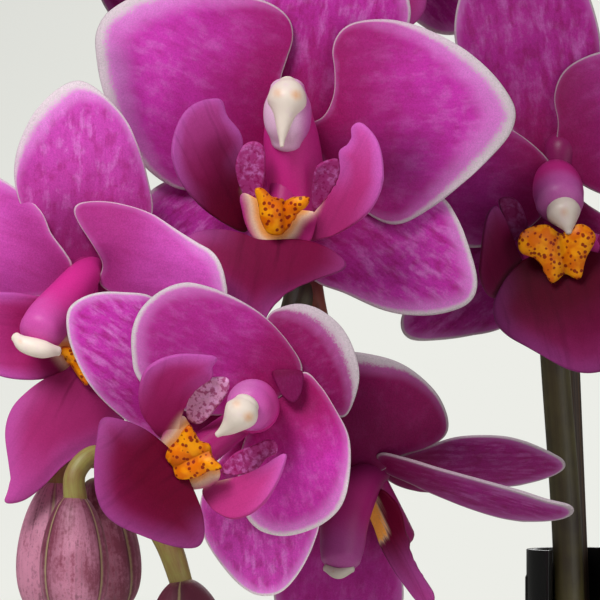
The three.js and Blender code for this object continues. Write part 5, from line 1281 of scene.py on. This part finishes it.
class OrchidFlowerLook(bpy.types.PropertyGroup):
    margin_width: bpy.props.FloatProperty(
        name="Margin width", description="Width of the pale margin at the end of a petal, in millimetres",
        default=1.15, min=0, max=6)
    petal_colour: colour_property("Petal", "Main colour of petals and sepals", 202, 54, 176)
    foot_colour: colour_property("Petal foot", "Colour of a petal near the column", 147, 16, 88)
    lilac_colour: colour_property("Lilac", "Colour just inside the pale margin", 222, 134, 214)
    vein_colour: colour_property("Vein", "Colour of veins and dapples", 132, 8, 84)
    margin_colour: colour_property("Margin", "Colour of the outermost margin", 218, 200, 210)
    lobe_colour: colour_property("Lip", "Colour of the outer half of the lip", 184, 42, 122)
    lobe_rim_colour: colour_property("Lip rim", "Colour of the rim of the lip", 190, 92, 182)
    wine_colour: colour_property("Lip throat", "Colour of the lip near the callus", 100, 4, 40)
    groove_colour: colour_property("Lip groove", "Thin line down the middle of the lip", 60, 0, 26)
    fleck_colour: colour_property("Throat flaps", "Ground colour of the flecked flaps", 172, 56, 128)
    cream_colour: colour_property("Cream patch", "Pale patches beside the callus", 250, 220, 188)
    column_foot_colour: colour_property("Column foot", "Colour of the underside of the column", 206, 44, 140)
    column_middle: colour_property("Column side", "Lilac of the column below its hood", 204, 92, 178)
    column_colour: colour_property("Column tip", "Clear lilac round the anther cap", 234, 190, 222)
    cap_colour: colour_property("Anther cap", "Ivory of the anther cap", 240, 224, 212)
    blush_colour: colour_property("Cap blush", "Peach blotches on the anther cap", 232, 170, 120)
    callus_colour: colour_property("Callus", "Orange of the callus", 226, 110, 0)
    callus_light: colour_property("Callus light", "Lighter parts of the callus", 248, 156, 6)
    dot_colour: colour_property("Callus dots", "Dots on the callus", 134, 16, 12)


class OrchidPlantLook(bpy.types.PropertyGroup):
    leaf_thickness: bpy.props.FloatProperty(
        name="Leaf thickness", description="Thickness of a leaf at its midrib", default=0.002,
        min=0.0005, max=0.006, unit="LENGTH")
    bud_colour: colour_property("Bud", "Main colour of the buds", 144, 64, 90)
    # The lighter parts of a bud are partly its dusty bloom and partly a painted sheen
    bud_light: colour_property("Bud light", "Lighter, dusty parts of a bud", 214, 140, 170)
    bud_dark: colour_property("Bud dark", "Darker flecks on a bud", 98, 34, 56)
    seam_colour: colour_property("Bud seam", "Green of the seams and foot of a bud", 172, 156, 112)
    stalk_light: colour_property("Stalk", "Olive of the flower stalks", 160, 152, 82)
    stalk_dark: colour_property("Stalk flush", "Reddish flush of the flower stalks", 136, 72, 56)
    spike_light: colour_property("Spike", "Olive of the spike", 78, 70, 38)
    spike_dark: colour_property("Spike flush", "Dark flush of the spike", 38, 22, 22)
    leaf_colour: colour_property("Leaf", "Green of the leaves", 62, 102, 48)
    leaf_dark: colour_property("Leaf dark", "Darker green of the leaves", 36, 74, 36)
    leaf_light: colour_property("Leaf veins", "Midrib and fine veins", 104, 136, 70)
    leaf_under: colour_property("Leaf underside", "Underside of the leaves", 92, 96, 64)
    root_colour: colour_property("Root", "Silver of the dry roots", 168, 172, 154)
    root_green: colour_property("Root green", "Green of the damp roots", 112, 132, 84)


class OrchidPotLook(bpy.types.PropertyGroup):
    chip_size: bpy.props.FloatProperty(
        name="Bark chip", description="Length of a bark chip", default=0.011, min=0.004, max=0.03,
        unit="LENGTH")
    glaze_colour: colour_property("Glaze", "Colour of the pot's glaze", 232, 229, 221)
    glaze_shade: colour_property("Glaze shade", "Where the glaze pools", 222, 217, 206)
    speck_colour: colour_property("Glaze specks", "Iron specks in the glaze", 150, 126, 98)
    bark_colour: colour_property("Bark", "Main colour of the bark", 104, 66, 42)
    bark_light: colour_property("Bark light", "Fresher bark", 146, 102, 68)
    bark_dark: colour_property("Bark dark", "Cracks in the bark", 52, 32, 22)
    cane_colour: colour_property("Stake", "Colour of the stake", 48, 34, 26)
    cane_light: colour_property("Stake streaks", "Lighter streaks of the stake", 84, 62, 44)


class OrchidStageLook(bpy.types.PropertyGroup):
    floor_radius: bpy.props.FloatProperty(
        name="Floor radius", description="Radius of the pale floor", default=1.4, min=1, max=20,
        unit="LENGTH")
    key_power: bpy.props.FloatProperty(
        name="Key light", description="Power of the large lamp at the upper left", default=9.0, min=0,
        max=200, unit="POWER")
    room_light: bpy.props.FloatProperty(
        name="Room light", description="Share of the backdrop's brightness that lights the plant",
        default=0.22, min=0, max=2)
    pale_colour: colour_property("Backdrop", "Colour of the floor and of what lies behind", 236, 237, 231)


# Operators


class ORCHID_OT_blooms(bpy.types.Operator):
    """Models the open blooms: petals, sepals, lip, column, anther cap, callus and stalk"""
    bl_idname = "orchid.blooms"
    bl_label = "Blooms"

    def execute(self, context):
        look = context.scene.orchid_flower
        plant = context.scene.orchid_plant
        finishes = {
            "petals": tepal_finish("petal skin", look, veins=0.15, dapples=0.25),
            "sepals": tepal_finish("sepal skin", look, veins=0.2, dapples=0.55),
            "lip": lip_finish(look),
            "column": column_finish(look),
            "anther": anther_finish(look),
            "callus": callus_finish(look),
            "stalk": stalk_finish("flower stalk", plant.stalk_dark, plant.spike_dark),
        }
        for name in BLOOMS:
            model_bloom(name, finishes)
        return {"FINISHED"}


def model_bloom(name, finishes):
    """One bloom: three pieces of joined blades, and then its column, stalk, anther cap and callus."""
    bloom = BLOOMS[name]
    parts = {"petals": [], "sepals": [], "lip": []}
    for blade_name in bloom["blades"]:
        if blade_name != "callus":
            parts[kind_of(blade_name)["part"]].append(blade_piece(name, blade_name))
    for part, blades in parts.items():
        dress(join(f"{name}_{part}", blades), name, finishes[part])
    dress(column_piece(name), name, finishes["column"])
    dress(tube(f"{name}_stalk", bloom["stalk"], around=16, steps=30), name, finishes["stalk"])
    dress(anther_piece(name), f"{name}_cap", finishes["anther"])
    if "callus" in bloom["blades"]:
        dress(callus_piece(name), f"{name}_callus", finishes["callus"])


def column_piece(name):
    """The column with its hood, the hub that carries the petals and the throat that carries the lip."""
    bloom = BLOOMS[name]
    x, z = bloom.get("hub", [0, 0])
    # Each limb's path and its painted shade at its start and its end: dim at the column's foot, and more
    # painted shade on the hub and the throat, deep in the bloom
    limbs = {
        "column": (bloom["column"], bloom["dim"], 1.0),
        "hub": ([[0, 3, 0, 2.2], [0, 1.8, 0, 2.6], [x, 0.9, z, 2]], 0.45, 0.45),
        "throat": ([[x, 0, z, 2.0], [*throat_of(bloom), 2.5]], 0.75, 0.7),
    }
    if "hood" in bloom:
        limbs["hood"] = (bloom["hood"], 1.0, 1.0)
    parts = []
    for limb, (path, first, last) in limbs.items():
        path = place_path(bloom, path)
        part = tube(limb, path, around=32, steps=24)
        points = read_points(part) / MM
        line = path[-1, :3] - path[0, :3]
        along = (points - path[0, :3]) @ line / (line @ line)
        veil = 0
        if limb == "hood":
            beside = (points[:, 0] - path[:, 0].mean()) / path[:, 3].max()
            veil = fade(along, -0.7, 0.1) * (1 - bloom["shadow"] * fade(beside, -0.1, 1.1))
        elif limb == "column" and "hood" not in bloom:
            veil = fade(along, 0.45, 1.15)
        # The bloom's painted light, times the limb's painted shade from its start to its end
        tone = bloom["tone"] * (first + (last - first) * fade(along, 0, 0.6))
        write_attributes(part, hood=veil * bloom["clear"], tone=tone)
        parts.append(part)
    return join(f"{name}_column", parts)


def anther_piece(name):
    """The anther cap, with its two blotches and its beak."""
    bloom = BLOOMS[name]
    cap = place_path(bloom, bloom["cap"])
    width = cap[:, 3].max()
    anther = tube(f"{name}_anther", cap, around=28, steps=30)
    points = read_points(anther) / MM
    brow, sac = cap[0, :3], cap[len(cap) // 3, :3]
    side = np.cross(cap[-1, :3] - sac, [0, 1, 0])
    side *= width * 0.5 / np.linalg.norm(side)
    spots = [[side, 1.0], [-side, 0.7]] if "hood" in bloom else [[0, 0.6]]
    blush = 0
    for away, strong in spots:
        spot = 0.4 * brow + 0.6 * sac + away
        near = np.linalg.norm((points - spot)[:, [0, 2]], axis=1) / (0.34 * width)
        blush = np.maximum(blush, strong * np.exp(-near ** 2))
    # The cap takes the bloom's painted light and shade
    write_attributes(anther, blush=blush, tone=bloom["tone"])
    return anther


def callus_piece(name):
    """A waxy pad with raised horns and a lumpy skin."""
    bloom = BLOOMS[name]
    flat, depth, _, across, rim = lay_blade(bloom["blades"]["callus"], CALLUS["fine"])
    fold = np.exp(-((across / 0.16) ** 2))
    horns = 0.7 * fade(rim, 0, 1.6) * (0.4 + np.abs(across))
    depth = depth - horns - 0.25 * ripple(flat, 0.5, 3) + 0.5 * fold
    # Painted shade: the bloom's painted light, darker along the middle fold and towards the rim
    tone = (0.3 + 0.8 * bloom["tone"]) * (1 - 0.3 * fold) * (0.82 + 0.18 * fade(rim, 0, 1.2))
    return blade_mesh(f"{name}_crest", bloom, flat, depth, CALLUS["thick"], tone=tone)


class ORCHID_OT_buds(bpy.types.Operator):
    """Models the closed buds and their stalks"""
    bl_idname = "orchid.buds"
    bl_label = "Buds"

    def execute(self, context):
        look = context.scene.orchid_plant
        skin = bud_finish(look)
        stalk = stalk_finish("bud stalk", look.stalk_light, look.stalk_dark)
        for name, bud in BUDS.items():
            dress(bud_piece(name, bud), name, skin)
            dress(tube(f"{name}_stalk", bud["stalk"], around=18, steps=40), name, stalk)
        return {"FINISHED"}


def bud_piece(name, bud):
    """A plump egg, pointed below, with a groove down each of its three seams."""
    radius, half = bud["size"]
    piece, u, v = grid_piece(f"{name}_egg", across=73, along=48)
    angle = u * FULL_TURN
    polar = (1 - v) * math.pi
    height = np.cos(polar)
    off = angle - math.radians(bud["turn"])
    seam = np.exp(-((np.sin(1.5 * off) / 0.13) ** 2))
    ridge = 0.5 + 0.5 * np.cos(3 * off + math.pi)
    girth = radius * np.sin(polar) ** 0.92 * (1 - 0.16 * height)
    girth = girth * (1 - 0.075 * seam * np.sin(polar)) * (0.965 + 0.035 * ridge)
    girth = girth * (1 + 0.006 * np.cos(angle * 24))
    points = np.stack([girth * np.cos(angle), girth * np.sin(angle), half * height], axis=1)
    write_points(piece, turn_points(points, 0, math.radians(bud["lean"]), 0) + np.array(bud["at"]))
    write_attributes(piece, along=1 - v, angle=u, seam=seam, ridge=ridge, dusk=bud["dusk"])
    close_up(piece)
    return piece


class ORCHID_OT_spike(bpy.types.Operator):
    """Models the arching flower spike and its small bracts"""
    bl_idname = "orchid.spike"
    bl_label = "Flower spike"

    def execute(self, context):
        look = context.scene.orchid_plant
        parts = [tube("spike", SPIKE, around=25, steps=240)]
        for x, y, z, turn in BRACTS:
            parts.append(bract_piece(x, y, z, math.radians(turn)))
        skin = stalk_finish("spike skin", look.spike_light, look.spike_dark, scale=300)
        dress(join("orchid_spike", parts), "flower_spike", skin)
        return {"FINISHED"}


def bract_piece(x, y, z, turn):
    """A small scale that stands up beside the spike and faces a turn."""
    out = np.array([math.cos(turn), math.sin(turn), 0])
    path = [[*(np.array([x, y, z + rise]) + out * away), radius] for away, rise, radius in BRACT]
    return tube("bract", path, around=14, steps=12)


class ORCHID_OT_leaves(bpy.types.Operator):
    """Models the strap leaves in their two ranks"""
    bl_idname = "orchid.leaves"
    bl_label = "Leaves"

    def execute(self, context):
        look = context.scene.orchid_plant
        skin = leaf_finish(look)
        for name, leaf in LEAVES.items():
            dress(leaf_piece(name, leaf, look.leaf_thickness / MM), name, skin)
        return {"FINISHED"}


def leaf_width(along):
    """How wide a leaf is at each share of its length, against its widest: waisted, then rounded off."""
    base = 0.42 + 0.58 * fade(along, 0, 0.45)
    return base * np.sqrt(np.clip(1 - np.clip((along - 0.62) / 0.38, 0, 1) ** 2.4, 0, 1))


def leaf_piece(name, leaf, thickness):
    """A thick strap with a keeled midrib, which rises from the stem and arches over."""
    slope = np.radians(leaf["rise"] - leaf["droop"] * np.linspace(0, 1, LEAF_STEPS)**1.2)
    run = leaf["length"] / (LEAF_STEPS - 1)
    reach = LEAF_START + np.concatenate([[0], np.cumsum(np.cos(slope)[:-1] * run)])
    height = leaf["base"] + np.concatenate([[0], np.cumsum(np.sin(slope)[:-1] * run)])
    piece, u, along = grid_piece(f"{name}_blade", LEAF_AROUND, LEAF_STEPS)
    row = nearest(along, LEAF_STEPS)
    angle = u * FULL_TURN
    across = np.cos(angle)
    edge = np.clip(along / 0.02, 0, 1)
    half = leaf["width"] / 2 * leaf_width(along) * edge
    skin = np.sign(np.sin(angle)) * np.abs(np.sin(angle)) ** 0.6 * thickness / 2
    skin = skin * (1 - 0.35 * np.abs(across)) * np.sqrt(np.clip(leaf_width(along), 0, 1)) * edge
    groove = 0.5 * np.exp(-((across / 0.09) ** 2)) * (1 - 0.6 * along) * edge
    strip = np.stack([across * 12, along * leaf["length"]], axis=1)
    sway = 0.7 * ripple(strip, 0.02, len(name) + leaf["turn"]) * np.sqrt(edge)
    up = across * across * half * (0.34 - 0.2 * along) - groove + sway + skin
    out = reach[row] - np.sin(slope[row]) * up
    rise = height[row] + np.cos(slope[row]) * up
    points = np.stack([out, across * half, rise], axis=1)
    write_points(piece, turn_points(points, 0, 0, math.radians(leaf["turn"])))
    write_attributes(piece, across=across, along=along, under=fade(-np.sin(angle), 0.0, 0.3))
    close_up(piece)
    return piece


class ORCHID_OT_roots(bpy.types.Operator):
    """Models the short stem and the stout roots that dip into the bark"""
    bl_idname = "orchid.roots"
    bl_label = "Stem and roots"

    def execute(self, context):
        parts = [tube("stem", STEM, around=32, steps=40)]
        parts += [tube("root", root, around=16, steps=60) for root in ROOTS]
        skin = root_finish(context.scene.orchid_plant)
        dress(join("orchid_roots", parts), "stem_and_roots", skin)
        return {"FINISHED"}


class ORCHID_OT_pot(bpy.types.Operator):
    """Turns the glazed outer pot and the dark nursery pot inside it"""
    bl_idname = "orchid.pot"
    bl_label = "Pots"

    def execute(self, context):
        look = context.scene.orchid_pot
        pot = lathe("glazed_pot", POT_PROFILE, around=145, steps=110)
        dress(pot, "outer_pot", glaze_finish(look))
        liner = lathe("liner_pot", LINER_PROFILE, around=121, steps=80)
        for i in range(DRAIN["count"]):
            drill_liner(liner, (i + 0.5) * FULL_TURN / DRAIN["count"])
        black = plastic_finish("liner plastic", tint(44, 46, 45), rough=0.45, scratch=0.15)
        dress(liner, "nursery_pot", black)
        return {"FINISHED"}


def drill_liner(liner, turn):
    """Cuts one drain hole through the floor of the nursery pot."""
    ring = DRAIN["ring"] * MM
    place = (ring * math.cos(turn), ring * math.sin(turn), DRAIN["height"] * MM)
    bpy.ops.mesh.primitive_cylinder_add(vertices=28, radius=DRAIN["radius"] * MM, depth=DRAIN["depth"] * MM,
                                        location=place)
    drill = bpy.context.object
    add_modifier(liner, "BOOLEAN", operation="DIFFERENCE", object=drill, solver="EXACT")
    bpy.data.objects.remove(drill)


class ORCHID_OT_bark(bpy.types.Operator):
    """Packs the bark: a core with loose chips over it"""
    bl_idname = "orchid.bark"
    bl_label = "Bark"

    def execute(self, context):
        look = context.scene.orchid_pot
        core = bark_core()
        chips = [chip_copy(look.chip_size / MM, i) for i in range(BARK["chips"])]
        dress(join("bark_chips", [core] + chips), "bark", bark_finish(look))
        return {"FINISHED"}


def bark_core():
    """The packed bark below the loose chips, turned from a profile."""
    floor, top, radius = BARK["floor"], BARK["top"], BARK["radius"]
    profile = [[0, floor], [BARK["base_radius"], floor], [radius, top - 2], [radius - 1, top - 1],
               [0, top - 1]]
    core = lathe("bark_core", profile, around=61, steps=40)
    write_attributes(core, chip=0.4)
    return core


def chip_copy(size, index):
    """One loose chip: a small bevelled block, knocked out of true and laid by rule."""
    draw = np.random.default_rng(BARK["seed"] + index)
    bpy.ops.mesh.primitive_cube_add(size=1)
    chip = bpy.context.object
    points = read_points(chip)
    points = points * (1 + CHIP["rough"] * (draw.random(points.shape) - 0.5))
    points = points * (size * CHIP_SHAPE) * draw.uniform(0.7, 1.15, 3)
    tilt = draw.uniform(-CHIP["tilt"], CHIP["tilt"], 2)
    spin = draw.uniform(0, math.pi)
    ring = (BARK["radius"] - CHIP["rim"]) * math.sqrt((index + 0.5) / BARK["chips"])
    turn = index * CHIP_TURN
    height = BARK["top"] - 0.2 + draw.uniform(-0.7, 1.0)
    centre = np.array([ring * math.cos(turn), ring * math.sin(turn), height])
    write_points(chip, turn_points(points, *tilt, spin) + centre)
    add_modifier(chip, "BEVEL", width=CHIP["bevel"] * MM, segments=1, limit_method="NONE")
    write_attributes(chip, chip=draw.random())
    return chip


class ORCHID_OT_support(bpy.types.Operator):
    """Models the stake and the moulded clip that holds the spike to it"""
    bl_idname = "orchid.support"
    bl_label = "Stake and clip"

    def execute(self, context):
        look = context.scene.orchid_pot
        stake = tube("orchid_stake", STAKE, around=24, steps=60, reach=0.1)
        dress(stake, "stake", cane_finish(look))
        black = plastic_finish("clip plastic", tint(14, 13, 14), rough=0.22, scratch=0.08)
        dress(clip_piece(), "spike_clip", black)
        bpy.ops.object.shade_smooth_by_angle(angle=math.radians(CLIP["sharp_angle"]))
        return {"FINISHED"}


def clip_piece():
    """The clip keeps its moulded form, with its doubled points merged and its edges rounded."""
    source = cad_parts["spike_clip"]
    clip = source.copy()
    clip.data = source.data.copy()
    clip.name = "snap_clip"
    clip.parent = None
    bpy.context.collection.objects.link(clip)
    only(clip)
    bpy.ops.object.mode_set(mode="EDIT")
    bpy.ops.mesh.select_all(action="SELECT")
    bpy.ops.mesh.remove_doubles(threshold=CLIP["merge"] * MM)
    bpy.ops.mesh.dissolve_limited(angle_limit=math.radians(CLIP["flat_angle"]))
    bpy.ops.object.mode_set(mode="OBJECT")
    add_modifier(clip, "BEVEL", width=CLIP["round"] * MM, segments=2, limit_method="ANGLE",
                 angle_limit=math.radians(CLIP["round_angle"]), use_clamp_overlap=True)
    return clip


class ORCHID_OT_stage(bpy.types.Operator):
    """Sets out the pale floor, the soft lamps, the backdrop colour and the camera"""
    bl_idname = "orchid.stage"
    bl_label = "Stage"

    def execute(self, context):
        look = context.scene.orchid_stage
        lay_floor(look)
        light_backdrop(look)
        for name, lamp in LAMPS.items():
            soft_lamp(name, lamp["place"], lamp["size"], look.key_power * lamp["share"])
        set_camera()
        return {"FINISHED"}


def lay_floor(look):
    """A round sheet of pale paper that thins out towards its rim."""
    bpy.ops.mesh.primitive_circle_add(vertices=96, radius=look.floor_radius, fill_type="NGON",
                                      location=(0, 0, 0))
    floor = bpy.context.object
    floor.name = "floor"
    paper = new_finish("floor paper", Roughness=0.9)
    soft = paper.noise(paper.place(), 3, 3)
    shade = [c * FLOOR["shade"] for c in look.pale_colour]
    away = paper.node("ShaderNodeVectorMath", {"operation": "LENGTH"}, {0: paper.place()}, "Value")
    thin = 1 - paper.step(away, look.floor_radius * FLOOR["full"], look.floor_radius * FLOOR["clear"])
    paper.feed(Base_Color=paper.mix(soft, look.pale_colour, shade), Alpha=thin)
    floor.data.materials.append(paper.owner)


def light_backdrop(look):
    """Darkens the backdrop towards its upper left, and lights the plant with only a share of it."""
    world = bpy.data.worlds.new("pale backdrop")
    bpy.context.scene.world = world
    backdrop = Finish(world, "Background")
    way = backdrop.node("ShaderNodeTexCoord", {}, {}, "Generated")
    x = backdrop.node("ShaderNodeSeparateXYZ", {}, {0: way}, "X")
    z = backdrop.node("ShaderNodeSeparateXYZ", {}, {0: way}, "Z")
    share = backdrop.node("ShaderNodeMapRange", {}, {"Value": z - x, "From Max": BACKDROP["span"]})
    shade = [c * BACKDROP["shade"] for c in look.pale_colour]
    seen = backdrop.node("ShaderNodeLightPath", {}, {}, "Is Camera Ray")
    strength = backdrop.node("ShaderNodeMapRange", {}, {"Value": seen, "To Min": look.room_light})
    backdrop.feed(Color=backdrop.mix(share, look.pale_colour, shade), Strength=strength)


def soft_lamp(name, place, size, power):
    """A square lamp that faces the blooms."""
    lamp = bpy.data.lights.new(name, "AREA")
    lamp.shape = "SQUARE"
    lamp.size = size
    lamp.energy = power
    holder = bpy.data.objects.new(name, lamp)
    bpy.context.collection.objects.link(holder)
    holder.location = place
    holder.rotation_euler = (AIM - Vector(place)).to_track_quat("-Z", "Y").to_euler()


def set_camera():
    """Looks level at the blooms from the front."""
    lens = bpy.data.cameras.new("camera")
    lens.lens = CAMERA["lens"]
    lens.sensor_width = CAMERA["sensor"]
    lens.clip_end = CAMERA["far"]
    camera = bpy.data.objects.new("camera", lens)
    bpy.context.collection.objects.link(camera)
    camera.location = CAMERA["place"]
    camera.rotation_euler = (math.radians(90), 0, 0)
    bpy.context.scene.camera = camera
    bpy.context.scene.view_settings.view_transform = "Standard"


class ORCHID_PT_sidebar(bpy.types.Panel):
    """Lists the orchid's operators in the sidebar"""
    bl_idname = "ORCHID_PT_sidebar"
    bl_label = "Potted moth orchid"
    bl_space_type = "VIEW_3D"
    bl_region_type = "UI"
    bl_category = "Orchid"

    def draw(self, context):
        for operator in OPERATORS:
            self.layout.operator(operator.bl_idname)


LOOKS = {
    "orchid_flower": OrchidFlowerLook,
    "orchid_plant": OrchidPlantLook,
    "orchid_pot": OrchidPotLook,
    "orchid_stage": OrchidStageLook,
}
OPERATORS = [ORCHID_OT_blooms, ORCHID_OT_buds, ORCHID_OT_spike, ORCHID_OT_leaves, ORCHID_OT_roots,
             ORCHID_OT_pot, ORCHID_OT_bark, ORCHID_OT_support, ORCHID_OT_stage]


def register():
    for member in [*LOOKS.values(), *OPERATORS, ORCHID_PT_sidebar]:
        bpy.utils.register_class(member)
    for name, look in LOOKS.items():
        setattr(bpy.types.Scene, name, bpy.props.PointerProperty(type=look))


def unregister():
    for name in LOOKS:
        delattr(bpy.types.Scene, name)
    for member in [ORCHID_PT_sidebar, *reversed(OPERATORS), *LOOKS.values()]:
        bpy.utils.unregister_class(member)


def main():
    """Models the whole plant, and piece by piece."""
    register()
    bpy.ops.orchid.blooms()
    bpy.ops.orchid.buds()
    bpy.ops.orchid.spike()
    bpy.ops.orchid.leaves()
    bpy.ops.orchid.roots()
    bpy.ops.orchid.pot()
    bpy.ops.orchid.bark()
    bpy.ops.orchid.support()
    bpy.ops.orchid.stage()


if __name__ == "__main__":
    main()
